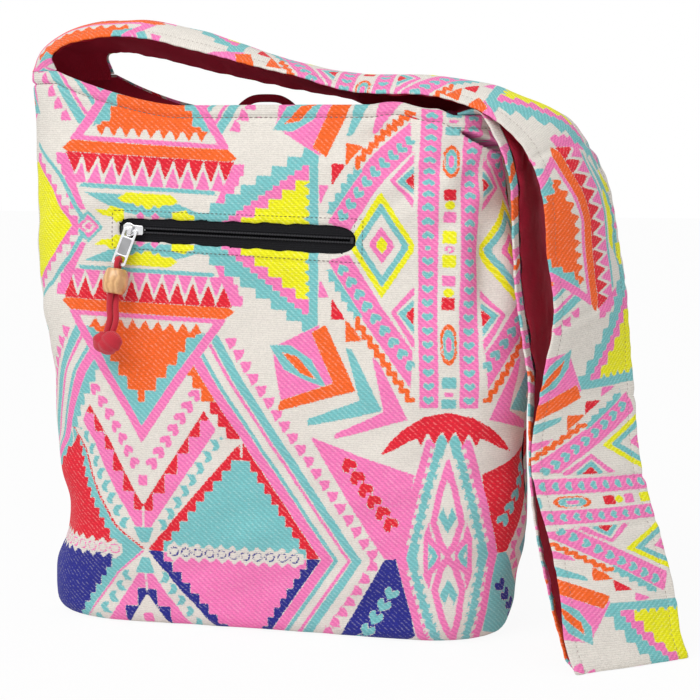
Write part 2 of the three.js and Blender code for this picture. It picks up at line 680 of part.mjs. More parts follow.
// The cord is doubled: up from the knot, through the bead, over the tab's foot, and down again
function cordRoute() {
  const apart = CORD_DIAMETER / 2 + CLEARANCE;
  const loop = TAB_THICKNESS / 2 + 2 * CLEARANCE + CORD_DIAMETER / 2;
  const over = FOOT_TOP + 3 * CLEARANCE + CORD_DIAMETER / 2;
  const inside = CORD_DIAMETER * 0.3;
  const strand = (side) => [
    vector(KNOT_SHIFT + side * apart, 0, KNOT_TOP),
    vector(KNOT_SHIFT + CORD_SWAY + side * apart, side * apart * 0.1, KNOT_TOP + CORD_DROP * 0.3),
    vector(KNOT_SHIFT - CORD_SWAY + side * apart * 0.95, side * apart * 0.3, KNOT_TOP + CORD_DROP * 0.65),
    vector(side * apart * 0.6, side * apart * 0.85, BEAD_BOTTOM + inside),
    vector(0, side * apart, (BEAD_TOP + BEAD_BOTTOM) / 2),
    vector(0, side * apart, BEAD_TOP - inside),
    vector(0, side * loop, FOOT_TOP - TAB_FOOT),
    vector(0, side * loop, FOOT_TOP - TAB_FOOT / 3),
    vector(0, side * loop * 0.72, FOOT_TOP + (over - FOOT_TOP) * 0.75),
  ];
  return [...strand(-1), vector(0, 0, over), ...strand(1).reverse()];
}

function addTassel(tassel) {
  const circle = new THREE.Shape();
  circle.absarc(0, 0, CORD_DIAMETER / 2, 0, Math.PI * 2, false);
  const cord = new THREE.ExtrudeGeometry(circle, {
    extrudePath: new THREE.CatmullRomCurve3(cordRoute(), false, 'centripetal'),
    steps: 46,
    curveSegments: 4,
    bevelEnabled: false,
  });
  addPart(tassel, 'pull_cord', cord, RED, 0.8);

  const bore = BEAD_BORE / 2;
  const girth = BEAD_DIAMETER / 2;
  const barrel = [[bore, 0], [girth * 0.72, 0.02], [girth * 0.96, 0.26], [girth, 0.5], [girth * 0.93, 0.76],
    [girth * 0.7, 0.98], [bore, 1], [bore, 0]];
  const bead = new THREE.LatheGeometry(barrel.map(([r, up]) => new THREE.Vector2(r, up * BEAD_LENGTH)), 12);
  bead.rotateX(Math.PI / 2);
  bead.translate(0, 0, BEAD_BOTTOM);
  addPart(tassel, 'wooden_bead', bead, WOOD, 0.6);

  const radius = KNOT_DIAMETER / 2;
  const ball = [[0, -0.9], [0.55, -0.82], [0.92, -0.4], [1, 0.05], [0.86, 0.52], [0.5, 0.8], [0, 0.72]];
  const knot = new THREE.LatheGeometry(ball.map(([r, up]) => new THREE.Vector2(r * radius, up * radius)), 12);
  knot.rotateX(Math.PI / 2);
  knot.translate(KNOT_SHIFT, 0, KNOT_TOP - CLEARANCE - radius * 0.8);
  addPart(tassel, 'cord_knot', knot, RED, 0.85);
}

// Closure loop: a narrow band sewn inside the back hem
function addClosureLoop() {
  const inside = (z) => outline(0.5, 1, z, liningInset(z) + LINING).y;
  const hem = BODY_HEIGHT;
  const sewn = hem - LOOP_SEWN;
  const y = inside(hem) - CLEARANCE - LOOP_THICKNESS / 2;
  const half = LOOP_SPAN / 2;
  const route = [
    vector(-half, y, sewn),
    vector(-half, y, hem - LOOP_SEWN / 3),
    vector(-half * 0.55, y - LOOP_LEAN / 2, hem + LOOP_RISE * 0.72),
    vector(0, y - LOOP_LEAN, hem + LOOP_RISE),
    vector(half * 0.55, y - LOOP_LEAN / 2, hem + LOOP_RISE * 0.72),
    vector(half, y, hem - LOOP_SEWN / 3),
    vector(half, y, sewn),
  ];
  const section = new THREE.Shape();
  section.moveTo(-LOOP_THICKNESS / 2, -LOOP_WIDTH / 2);
  section.lineTo(LOOP_THICKNESS / 2, -LOOP_WIDTH / 2);
  section.lineTo(LOOP_THICKNESS / 2, LOOP_WIDTH / 2);
  section.lineTo(-LOOP_THICKNESS / 2, LOOP_WIDTH / 2);
  const loop = new THREE.ExtrudeGeometry(section, {
    extrudePath: new THREE.CatmullRomCurve3(route, false, 'centripetal'),
    steps: 24,
    bevelEnabled: false,
  });
  const mesh = addPart(bag, 'closure_loop', loop, MAROON, 0.85);
  mesh.position.x = LOOP_MIDDLE;
}

addBody();
addLining();
addStrap();
addZip();
addPocketBag();
addSlider();
const pull = hangingGroup(vector(SLIDER_X, HINGE_FRONT, SLIDER_Z), PULL_LEAN);
addTab(pull);
const foot = vector(0, 0, -FOOT_DROP).applyMatrix4(pull.matrix);
addTassel(hangingGroup(foot, TASSEL_LEAN));
addClosureLoop();

export default bag;
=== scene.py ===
import math

import bpy
import numpy as np
from mathutils import Matrix, Vector


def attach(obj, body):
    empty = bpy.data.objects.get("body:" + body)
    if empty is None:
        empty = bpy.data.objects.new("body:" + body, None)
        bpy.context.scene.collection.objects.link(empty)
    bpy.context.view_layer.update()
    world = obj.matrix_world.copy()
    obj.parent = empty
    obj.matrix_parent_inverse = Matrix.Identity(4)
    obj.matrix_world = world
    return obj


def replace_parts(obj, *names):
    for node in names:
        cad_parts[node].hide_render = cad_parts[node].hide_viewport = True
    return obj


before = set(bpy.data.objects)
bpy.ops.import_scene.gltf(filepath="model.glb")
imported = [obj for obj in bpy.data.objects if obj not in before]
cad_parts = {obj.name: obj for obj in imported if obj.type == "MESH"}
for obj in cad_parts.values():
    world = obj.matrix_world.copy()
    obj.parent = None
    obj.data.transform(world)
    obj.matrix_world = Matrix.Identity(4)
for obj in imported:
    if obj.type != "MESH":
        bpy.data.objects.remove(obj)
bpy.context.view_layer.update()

# Millimetres here, metres in the scene
MM = 0.001

# Body, as the solids have it
BODY_WIDTH = 374
BODY_HEIGHT = 400
BODY_DEPTH = 100
END_ROUND = 62
BOTTOM_RADIUS = 12
FABRIC = 1.6
LINING_SLACK = 8
LINING_RADIUS = 6
CLEARANCE = 0.3
HALF_WIDTH = BODY_WIDTH / 2
HALF_DEPTH = BODY_DEPTH / 2

# Mouth hem; it lifts over a range of runs from the right seam
LEFT_RISE = 26
FRONT_SWEEP = 100
BACK_SWEEP = 78
RIGHT_DROP = 8
RIGHT_ROOT = 64
RIGHT_SWEEP = 40
HEM_CURVE = 1.5
HEM_LIFT = 5
HEM_LIFT_RUNS = (48, 62, 82, 112)
HEM_BAND = 9
HEM_ROLL = 1.2
HEM_TUCK = 8
ROLL_RUN = 4

# Strap; the runs along it say where it sags and where it turns around the bag's side
STRAP_WIDTH = 95
STRAP_ROOT_FRONT = 48
STRAP_ROOT_BACK = 68
STRAP_ARCH = 46
STRAP_REACH = 91
STRAP_SAG = 9
STRAP_SAG_RUNS = (250, 320, 400, 440)
STRAP_WRAP = 7
STRAP_WRAP_RUNS = (1095, 1195, 1200, 1285)
STRAP_TURN = 8

# Welt pocket and its zip
ZIP_HEIGHT = 305
ZIP_TILT = 2
ZIP_MIDDLE = -20
ZIP_LENGTH = 182
ZIP_FLAT = 32
SLOT_LEFT_HEIGHT = 17
SLOT_RIGHT_HEIGHT = 21
SLOT_END_LEFT = 0.6
SLOT_END_RIGHT = 1.0
TAPE_WIDTH = 14
TAPE_THICKNESS = 0.8
TAPE_END = 7
COIL_RADIUS = 0.8
COIL_GAP = 1.6
STOP_LENGTH = 2.4
STOP_INSET = 1.6
POCKET_DEPTH = 140
POCKET_LAYER = 0.8
POCKET_ROOM = 2.4

# Slider, pull tab and beaded cord
SLIDER_LENGTH = 13
SLIDER_HEIGHT = 9.6
SLIDER_PLATE = 1.5
SLIDER_TAIL = 2.6
POST_LENGTH = 5.8
POST_WIDTH = 1
BRIDGE_SPAN = 7.6
BRIDGE_BAR = 1.2
BRIDGE_WIDTH = 2.4
BRIDGE_ROOM = 3
TAB_LENGTH = 29
TAB_WIDTH = 11
TAB_BAR = 1.9
TAB_FOOT = 2.4
TAB_THICKNESS = 1.2
TAB_EYE_FOOT = -5.6
TAB_WINDOW = (-19.5, -7.0)
TAB_HOLE_TOP = -20.8
TAB_PANEL = 0.45
TAB_LAP = 0.3
PULL_LEAN = 19
PULL_TILT = 11
TASSEL_LEAN = 7
CORD_DIAMETER = 4
CORD_FULL = 4.6
BEAD_DIAMETER = 19.5
BEAD_LENGTH = 19
BEAD_BORE = 9.8
BEAD_DROP = 2.6
KNOT_DIAMETER = 23
CORD_DROP = 27
CORD_SWAY = 1
KNOT_SHIFT = 2

# Closure loop
LOOP_SPAN = 46
LOOP_RISE = 6
LOOP_SEWN = 14
LOOP_WIDTH = 5
LOOP_PUFF = 1.2
LOOP_THICKNESS = 1.4
LOOP_MIDDLE = -17
LOOP_LEAN = 2
LOOP_STEPS = 90

# Grid steps of the cloth, its width from seam to seam, and rows in the bend at the base and in the hem's roll
FINE = 1.5
COARSE = 3.0
CLOTH_WIDTH = 430
BEND_ROWS = 6
ROLL_ROWS = 6

# Seeds of the ripples in each piece of cloth
SEEDS = {"front": 3, "back": 8, "base": 17, "lining_front": 21, "lining_back": 25, "strap": 41,
         "strap_lining": 51, "pocket": 61}

# The camera of the photograph: places in metres, lens and sensor in millimetres
CAMERA_EYE = (0.300, -1.143, 0.3792)
CAMERA_AIM = (0.057, 0.0, 0.215)
CAMERA_LENS = 79.2
CAMERA_SENSOR = 36

# Red, green and blue of each colour, from 0 to 255
COLOURS = {
    "cream": (232, 226, 217),
    "pink": (250, 128, 190),
    "aqua": (124, 198, 200),
    "yellow": (243, 240, 30),
    "orange": (251, 106, 42),
    "red": (230, 38, 56),
    "blue": (43, 46, 140),
    "maroon": (190, 46, 70),
    "black": (24, 24, 27),
    "cord": (200, 30, 52),
    "thread": (92, 50, 42),
    # The pale thread is greyed darker than its own colour: partly the thread, partly painted shade of the
    # hem's stitched groove
    "pale thread painted shade": (158, 138, 134),
}


def linear(name):
    """The colour as the shader takes it."""
    share = np.array(COLOURS[name]) / 255
    value = np.where(share <= 0.04045, share / 12.92, ((share + 0.055) / 1.055) ** 2.4)
    return (*[float(v) for v in value], 1.0)


# Small maths

def clip01(value):
    return np.clip(value, 0, 1)


def smoothstep(value, low, high):
    t = clip01((value - low) / (high - low))
    return t * t * (3 - 2 * t)


def mix(a, b, t):
    return a + (b - a) * t


def plateau(value, start, full, ease, end):
    """Rises from 0 to 1 between start and full, and falls again between ease and end."""
    return smoothstep(value, start, full) * (1 - smoothstep(value, ease, end))


def bell(apart, width):
    """1 at the middle, and next to nothing two widths from it."""
    return np.exp(-(apart / width) ** 2)


def xyz(x, y, z):
    """Points from coordinates, which may be grids, rows or single numbers."""
    return np.stack(np.broadcast_arrays(x, y, z), -1)


def run_along(points):
    """How far along a row of points each one lies."""
    return np.concatenate([[0], np.cumsum(np.linalg.norm(np.diff(points, axis=0), axis=1))])


def through(stations):
    """Smooth curve through stations (place, value) that never overshoots them."""
    xs, ys = np.array(stations, float).T
    steps = np.diff(ys) / np.diff(xs)
    before, after = steps[:-1], steps[1:]
    same = before * after > 0
    total = np.where(same, before + after, 1)
    slopes = np.zeros_like(ys)
    slopes[1:-1] = np.where(same, 2 * before * after / total, 0)

    def value(place):
        i = np.clip(np.searchsorted(xs, place, side="right") - 1, 0, len(xs) - 2)
        span = xs[i + 1] - xs[i]
        t = clip01((place - xs[i]) / span)
        level = (1 + 2 * t) * (1 - t) ** 2 * ys[i] + t * t * (3 - 2 * t) * ys[i + 1]
        return level + span * (t * (1 - t) ** 2 * slopes[i] - t * t * (1 - t) * slopes[i + 1])

    return value


def curve_points(points, places):
    """Centripetal Catmull-Rom curve through points at the given shares of its run."""
    points = np.asarray(points, float)
    count = len(points)
    padded = np.vstack([2 * points[0] - points[1], points, 2 * points[-1] - points[-2]])
    at = np.asarray(places, float) * (count - 1)
    i = np.clip(np.floor(at).astype(int), 0, count - 2)
    w = (at - i)[:, None]
    p0, p1, p2, p3 = (padded[i + k] for k in range(4))
    t0, t1, t2 = (np.maximum(np.linalg.norm(b - a, axis=1) ** 0.5, 1e-4)[:, None]
                  for a, b in ((p0, p1), (p1, p2), (p2, p3)))
    m1 = ((p1 - p0) / t0 - (p2 - p0) / (t0 + t1) + (p2 - p1) / t1) * t1
    m2 = ((p2 - p1) / t1 - (p3 - p1) / (t1 + t2) + (p3 - p2) / t2) * t1
    return p1 + m1 * w + (3 * (p2 - p1) - 2 * m1 - m2) * w ** 2 + (2 * (p1 - p2) + m1 + m2) * w ** 3


def unit(vectors):
    return vectors / np.maximum(np.linalg.norm(vectors, axis=-1, keepdims=True), 1e-9)


def grid_normals(grid):
    """Normals of a grid of points: along the columns cross along the rows."""
    along = np.gradient(grid, axis=1)
    up = np.gradient(grid, axis=0)
    return unit(np.cross(along, up))


def ripples(u, v, seed, shortest, longest, count=9):
    """Gentle seeded waves over the cloth, about -1 to 1."""
    rng = np.random.default_rng(seed)
    total = np.zeros(np.broadcast(u, v).shape)
    for _ in range(count):
        length = rng.uniform(shortest, longest)
        turn = rng.uniform(0, math.pi)
        phase = rng.uniform(0, 2 * math.pi)
        total = total + np.sin((u * math.cos(turn) + v * math.sin(turn)) * 2 * math.pi / length + phase)
    return total / math.sqrt(count)


def waves(u, v, seed, sizes):
    """Several layers of ripples, each with its height and its shortest and longest length."""
    return sum(high * ripples(u, v, seed + k, shortest, longest)
               for k, (high, shortest, longest) in enumerate(sizes))


def segment_distance(u, v, a, b):
    """Distance to a segment, and the share along it of the nearest point."""
    ax, ay = a
    bx, by = b
    dx, dy = bx - ax, by - ay
    t = clip01(((u - ax) * dx + (v - ay) * dy) / max(dx * dx + dy * dy, 1e-9))
    return np.hypot(u - ax - t * dx, v - ay - t * dy), t


# Meshes

def add_to_scene(name, data):
    made = bpy.data.objects.new(name, data)
    bpy.context.scene.collection.objects.link(made)
    return made


def add_piece(name, data, material, body):
    """A piece from its mesh or curve, with its material, on its body."""
    data.materials.append(material)
    piece = add_to_scene(name, data)
    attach(piece, body)
    return piece


def add_object(name, verts, faces, material, slot, body="bag", layers=None, flip=False):
    """A mesh piece from points in millimetres, with named point values."""
    mesh = bpy.data.meshes.new(name)
    verts = np.asarray(verts, float).reshape(-1, 3)
    faces = [tuple(int(i) for i in (face[::-1] if flip else face)) for face in faces]
    mesh.from_pydata((verts * MM).tolist(), [], faces)
    mesh.update()
    mesh.polygons.foreach_set("use_smooth", [True] * len(mesh.polygons))
    for key, values in (layers or {}).items():
        layer = mesh.attributes.new(key, "FLOAT_VECTOR", "POINT")
        layer.data.foreach_set("vector", np.asarray(values, np.float32).reshape(-1))
    return add_piece(name, mesh, material, body)


def grid_faces(rows, columns, loop=False):
    """Quads of a grid; with loop the last column joins the first."""
    j, i = np.meshgrid(np.arange(rows - 1), np.arange(columns if loop else columns - 1), indexing="ij")
    right = (i + 1) % columns
    here, above = j * columns, (j + 1) * columns
    return np.stack([here + i, here + right, above + right, above + i], -1).reshape(-1, 4)


def add_sheet(name, grid, material, slot, layers, flip=False):
    """A piece of cloth from a grid of points."""
    return add_object(name, grid, grid_faces(*grid.shape[:2]), material, slot, layers=layers, flip=flip)


def capped(rings):
    """Points and faces of a row of rings, closed at both ends."""
    rows, count = rings.shape[:2]
    faces = [tuple(face) for face in grid_faces(rows, count, loop=True)]
    last = (rows - 1) * count
    faces += [tuple(range(count))[::-1], tuple(last + i for i in range(count))]
    return rings.reshape(-1, 3), faces


def tube(path, section, first):
    """Points and faces of a section swept along a path; first is the section's first direction."""
    first, section = np.asarray(first, float), np.asarray(section, float)
    ahead = unit(np.gradient(path, axis=0))
    first = unit(first - ahead * (ahead @ first)[:, None])
    second = np.cross(ahead, first)
    aside = first[:, None] * section[None, :, :1] + second[:, None] * section[None, :, 1:]
    return capped(path[:, None] + aside)


def turns(count):
    """Even turns around a circle."""
    return np.arange(count) * 2 * math.pi / count


def circle(radius, sides):
    return np.stack([np.cos(turns(sides)), np.sin(turns(sides))], -1) * radius


def join(parts):
    """Several (points, faces) as one."""
    points, faces, base = [], [], 0
    for verts, quads in parts:
        verts = np.asarray(verts, float).reshape(-1, 3)
        points.append(verts)
        faces += [tuple(int(i) + base for i in face) for face in quads]
        base += len(verts)
    return np.vstack(points), faces


def plate_part(outlines, thickness, bevel):
    """A flat plate with rounded edges, drawn in X and Z around Y = 0, from an outline and its holes."""
    flat = bpy.data.curves.new("plate", "CURVE")
    flat.dimensions = "2D"
    flat.fill_mode = "BOTH"
    flat.extrude = thickness / 2 - bevel
    flat.bevel_depth = bevel
    flat.bevel_resolution = 2
    flat.offset = -bevel
    for outline in outlines:
        spline = flat.splines.new("POLY")
        spline.points.add(len(outline) - 1)
        for point, (x, z) in zip(spline.points, outline):
            point.co = (x, z, 0, 1)
        spline.use_cyclic_u = True
    holder = add_to_scene("plate", flat)
    bpy.context.view_layer.update()
    mesh = bpy.data.meshes.new_from_object(holder.evaluated_get(bpy.context.evaluated_depsgraph_get()))
    points = np.array([(v.co.x, -v.co.z, v.co.y) for v in mesh.vertices])
    faces = [tuple(p.vertices) for p in mesh.polygons]
    bpy.data.objects.remove(holder)
    bpy.data.curves.remove(flat)
    bpy.data.meshes.remove(mesh)
    return points, faces


def rounded_box(left, right, bottom, top, radius, steps=5):
    """Outline of a box with round corners."""
    corners = ((right - radius, bottom + radius, -90), (right - radius, top - radius, 0),
               (left + radius, top - radius, 90), (left + radius, bottom + radius, 180))
    points = []
    for x, z, start in corners:
        for k in range(steps + 1):
            turn = math.radians(start + 90 * k / steps)
            points.append((x + radius * math.cos(turn), z + radius * math.sin(turn)))
    return points


def placed(points, matrix):
    """Points through a matrix."""
    m = np.array(matrix)
    return points @ m[:3, :3].T + m[:3, 3]


def moved(part, matrix):
    """A part's points through a matrix, and its faces."""
    return placed(part[0], matrix), part[1]


# Body shape: half widths and half depth at shares of the height

left_share = through([(0, 0.985), (0.08, 0.975), (0.2, 0.918), (0.35, 0.945), (0.55, 0.995),
                      (0.8, 1.03), (1, 1.03)])
right_share = through([(0, 0.955), (0.08, 0.995), (0.22, 1.03), (0.4, 1.025), (0.6, 0.99),
                       (0.8, 0.95), (1, 0.92)])
depth_share = through([(0, 0.86), (0.08, 0.93), (0.28, 1.02), (0.45, 1.02),
                       ((ZIP_HEIGHT - ZIP_FLAT) / BODY_HEIGHT, 0.92),
                       ((ZIP_HEIGHT + ZIP_FLAT) / BODY_HEIGHT, 0.92), (1, 0.8)])


def wall_sizes(z, inset):
    """Flat runs to the left and right, depth, and the bend and its arc at each end, at a height."""
    level = z / BODY_HEIGHT
    depth = HALF_DEPTH * depth_share(level) - inset
    bend = END_ROUND - inset
    arc = math.pi / 2 * np.sqrt((bend ** 2 + depth ** 2) / 2)
    flat_left, flat_right = (HALF_WIDTH * share(level) - inset - bend for share in (left_share, right_share))
    return flat_left, flat_right, depth, bend, arc


def wall(place, z, side, inset=0.0):
    """A point of the wall, and its run along the cloth from x = 0; place goes from seam to seam, 0 to 1."""
    flat_left, flat_right, depth, bend, arc = wall_sizes(z, inset)
    along = place * (flat_left + flat_right + 2 * arc) - flat_left - arc
    turn_left = clip01((-flat_left - along) / arc) * math.pi / 2
    turn_right = clip01((along - flat_right) / arc) * math.pi / 2
    x = np.clip(along, -flat_left, flat_right) - bend * np.sin(turn_left) + bend * np.sin(turn_right)
    y = side * depth * np.cos(turn_left) * np.cos(turn_right) + (CLEARANCE if side > 0 else 0)
    return xyz(x, y, z), along


def wall_place(along, z):
    """Place between the seams of a run along the cloth."""
    flat_left, flat_right, _, _, arc = wall_sizes(z, 0.0)
    return (along + flat_left + arc) / (flat_left + flat_right + 2 * arc)


SEAM_PLACES = np.linspace(0, 1, 801)
SEAM_RUN = run_along(wall(SEAM_PLACES, np.full(801, float(BODY_HEIGHT)), -1)[0])


def mouth(place, side):
    """Height of the mouth's hem."""
    run = np.interp(place, SEAM_PLACES, SEAM_RUN)
    root, sweep = (STRAP_ROOT_FRONT, FRONT_SWEEP) if side < 0 else (STRAP_ROOT_BACK, BACK_SWEEP)
    climb = 1 - clip01((run - root) / sweep)
    from_right = SEAM_RUN[-1] - run
    drop = 1 - smoothstep(from_right, RIGHT_ROOT, RIGHT_ROOT + RIGHT_SWEEP)
    lift = plateau(from_right, *HEM_LIFT_RUNS)
    return BODY_HEIGHT + LEFT_RISE * climb ** HEM_CURVE - RIGHT_DROP * drop + HEM_LIFT * lift


# Woven pattern

# It is a repeat of mirrored cells, drawn as fields of colour in millimetres. A cell runs from axis A (p = 0)
# to axis B (p = CELL), and from the zip row (q = 0) down to the low row (q = ROW).
TINTS = ("pink", "aqua", "yellow", "orange", "red", "blue")
EDGE_REACH = 3.0
AXIS_A = -94
CELL = 234
ROW = 240

HEART = ((0, -0.5), (0.5, -0.02), (0.5, 0.3), (0.26, 0.5), (0, 0.16), (-0.26, 0.5),
         (-0.5, 0.3), (-0.5, -0.02))
COMMA = ((-0.5, -0.3), (0.1, -0.5), (0.5, -0.1), (0.4, 0.3), (0, 0.5), (0.05, 0.05))
TRIANGLE = ((-0.5, 0.5), (0.5, 0.5), (0, -0.5))
SQUARE = ((-0.5, -0.5), (0.5, -0.5), (0.5, 0.5), (-0.5, 0.5))
DIAMOND = ((-1, 0), (0, -1), (1, 0), (0, 1))
OVAL = ((0, -1), (0.6, -0.84), (1, -0.5), (1, 0.5), (0.6, 0.84), (0, 1), (-0.6, 0.84),
        (-1, 0.5), (-1, -0.5), (-0.6, -0.84))
FLAG = ((-0.5, -0.4), (0.5, -0.5), (0.4, 0.1), (-0.1, 0.5), (-0.2, 0.1))


# Heights on the front, how far axis A lies to the right there, and how much and how far the cloth is drawn in
DRAWN_AT = (200, 255, 361)
AXIS_SHIFT = (0, 4, 8)
DRAWN_IN = (0, 0.04, 0.065)
DRAWN_REACH = 170

# Heights, and how much and how far the cloth left of axis A is gathered there
GATHER_AT = (85, 145, 205, 260)
GATHERED = (0, 0.28, 0.1, 0)
GATHER_REACH = 90

# Height above which the rows crowd at the right, how much, and over which runs that begins
CROWD_FROM, CROWD, CROWD_RUNS = 335, 0.27, (70, 115)


# Heights of the two rows: the zip row falls to the right, and the low row rises over a range of runs
ZIP_ROW, ZIP_ROW_FALL = 308, 0.049
LOW_ROW, LOW_ROW_RISE, LOW_ROW_RUNS = 62, 8, (60, 140)


def zip_row(u):
    return ZIP_ROW - ZIP_ROW_FALL * (u - AXIS_A)


def low_row(u):
    return LOW_ROW + LOW_ROW_RISE * smoothstep(u, *LOW_ROW_RUNS)


def to_cell(u, v):
    """Place in the repeat of a point u along the front and v up it; the cloth draws in towards the mouth."""
    high = zip_row(u)
    v = v + CROWD * np.maximum(v - CROWD_FROM, 0) * smoothstep(u, *CROWD_RUNS)
    axis = AXIS_A + np.interp(v, DRAWN_AT, AXIS_SHIFT)
    tight = np.interp(v, DRAWN_AT, DRAWN_IN)
    gather = np.interp(v, GATHER_AT, GATHERED) * np.clip(axis - u, 0, GATHER_REACH)
    p = u - axis + tight * np.clip(u - axis, -DRAWN_REACH, DRAWN_REACH) - gather
    return p, (high - v) * ROW / (high - low_row(u))


def spot(u, v):
    """A front point as a place in the cell."""
    return tuple(float(c) for c in to_cell(u, v))


def spots(*points):
    return [spot(u, v) for u, v in points]


def polygon_distance(x, y, points):
    """Distance inside a polygon's edge, negative outside it."""
    best = np.full(x.shape, np.inf)
    inside = np.zeros(x.shape, bool)
    for (ax, ay), (bx, by) in zip(points, list(points[1:]) + [points[0]]):
        best = np.minimum(best, segment_distance(x, y, (ax, ay), (bx, by))[0])
        if ay != by:
            inside ^= ((ay > y) != (by > y)) & (x < ax + (y - ay) * (bx - ax) / (by - ay))
    return np.where(inside, best, -best)


class Weave:
    """How far each point of the cloth lies inside each colour's fields, up to the reach of an edge."""

    def __init__(self, p, q, side_block):
        self.side_block = side_block
        p, q = np.ravel(p).astype(float), np.ravel(q).astype(float)
        self.region = (q > ROW) + 2 * (np.floor(p / CELL).astype(int) % 2)
        self.p = np.abs((p + CELL) % (2 * CELL) - CELL)
        self.q = np.abs((q + ROW) % (2 * ROW) - ROW)
        self.depth = np.full((len(TINTS), len(p)), -EDGE_REACH)

    def near(self, points, margin):
        low_p, low_q = np.min(points, axis=0) - margin
        high_p, high_q = np.max(points, axis=0) + margin
        return np.nonzero((self.p > low_p) & (self.p < high_p) & (self.q > low_q) & (self.q < high_q))[0]

    def lay(self, index, distance, colours):
        """Lays a field; four colours are for the cell, below its low row, the next cell, and below that."""
        distance = np.clip(distance, -EDGE_REACH, EDGE_REACH)
        four = (colours,) * 4 if isinstance(colours, str) else colours
        for region, colour in enumerate(four):
            if colour is None:
                continue
            here = self.region[index] == region
            at, depth = index[here], distance[here]
            before = self.depth[:, at]
            after = np.minimum(before, -depth)
            if colour != "cream":
                row = TINTS.index(colour)
                after[row] = np.maximum(before[row], depth)
            self.depth[:, at] = after

    def fill(self, colours, points):
        index = self.near(points, EDGE_REACH)
        self.lay(index, polygon_distance(self.p[index], self.q[index], points), colours)

    def patch(self, colours, *points):
        """Fills a field whose corners are given as front points."""
        self.fill(colours, spots(*points))

    def line(self, colours, points, width):
        index = self.near(points, width / 2 + EDGE_REACH)
        p, q = self.p[index], self.q[index]
        apart = np.min([segment_distance(p, q, a, b)[0] for a, b in zip(points, points[1:])], axis=0)
        self.lay(index, width / 2 - apart, colours)

    def ring(self, colours, centre, outer, inner):
        index = self.near([centre], outer + EDGE_REACH)
        apart = np.hypot(self.p[index] - centre[0], self.q[index] - centre[1])
        self.lay(index, np.minimum(outer - apart, apart - inner), colours)

    def stamp(self, colours, shape, centre, size, turn=0):
        cos, sin = math.cos(math.radians(turn)), math.sin(math.radians(turn))
        wide, tall = size if isinstance(size, tuple) else (size, size)
        p, q = centre
        self.fill(colours, [(p + x * wide * cos - y * tall * sin, q + x * wide * sin + y * tall * cos)
                            for x, y in shape])

    def stamps(self, colours, shape, start, step, count, size, turn=0):
        for k in range(count):
            self.stamp(colours, shape, (start[0] + k * step[0], start[1] + k * step[1]), size, turn)

    def nest(self, shape, centre, *sizes):
        """The same shape one in another, each with its colour, width and height."""
        for colours, wide, tall in sizes:
            self.stamp(colours, shape, centre, (wide, tall))

    def layers(self):
        return {"tint_a": self.depth[:3].T, "tint_b": self.depth[3:].T}


def stairs(a, b, steps):
    """Corners of a stair from a to b: each step goes down the cloth, then across."""
    points = [a]
    for k in range(steps):
        next_p = mix(a[0], b[0], (k + 1) / steps)
        next_q = mix(a[1], b[1], (k + 1) / steps)
        points += [(points[-1][0], next_q), (next_p, next_q)]
    return points


# Shapes that cross an axis of the repeat are drawn past it
PAST = -9


def weave_chevrons(w):
    """Nested chevrons on axis A, under the inverted triangle."""
    w.fill("pink", [(52, 127), (64, 137), (3, 226), (PAST, 244), (PAST, 205), (1, 204)])
    w.fill(("red", "blue", "red", "blue"),
           [(52, 127), (57, 131), (52, 138), (46, 138), (46, 151), (37, 151), (37, 164), (28, 164), (28, 180),
            (18, 180), (18, 195), (8, 195), (8, 209), (PAST, 209), (PAST, 205), (1, 204)])
    w.line("cream", [(0, 207), (0, 222)], 1.8)
    w.stamp("pink", SQUARE, (0, 186), 8)
    w.stamps("aqua", COMMA, (62.5, 147.5), (-6, 9), 9, 9.8, 20)
    w.fill("aqua", [(PAST, 222), (8, 222), (3, 234), (PAST, 234)])


def weave_diamond(w):
    """The big diamond on the low row: a border straight outside and stepped inside, and a row of rings."""
    right = [(86, 150), (152, 240), (152, 250)]
    w.fill(("red", "blue", None, None), [(2, 250), (2, 240), (74, 157)] + right)
    bowed = [(2, 240), (23, 222), (42, 195), (59, 168), (74, 152)]
    w.line((None, None, "red", "pink"), bowed + right[:2], 3.4)
    w.fill((None, None, "aqua", "aqua"), [(2, 250)] + bowed + right)
    far_side = stairs((128, 240), (79.5, 167), 9)[::-1] + [(128, 250)]
    w.fill(("aqua", "pink", None, None), [(15, 250)] + stairs((15, 240), (76.5, 167), 9) + far_side)
    near_side = stairs((22, 240), (51, 195), 6) + stairs((51, 195), (72, 157), 5)[1:]
    w.fill((None, None, "red", "blue"), [(22, 250)] + near_side + far_side)
    w.line("cream", [(78, 146), (78, 164)], 2.2)
    w.fill("cream", [(18, 235.8), (126, 235.8), (126, 250), (18, 250)])
    w.stamps("cream", TRIANGLE, (23.5, 234), (9.5, 0), 11, (9, 4.2))
    for k in range(11):
        w.ring(("blue", "blue", "pink", "pink"), (23.5 + 9.5 * k, 240), 3.8, 2.7)


BAND_LEAN = 0.655
BAND_FOOT = 60


def band_spot(offset, v):
    """Front point at a height, at an offset from the diamond's right edge."""
    return offset - BAND_LEAN * (v - BAND_FOOT), v


def band(d_low, d_high, v_low=52, v_high=252):
    """A strip beside the diamond's right edge, between two offsets and two heights."""
    corners = ((d_low, v_low), (d_high, v_low), (d_high, v_high), (d_low, v_high))
    return spots(*(band_spot(d, v) for d, v in corners))


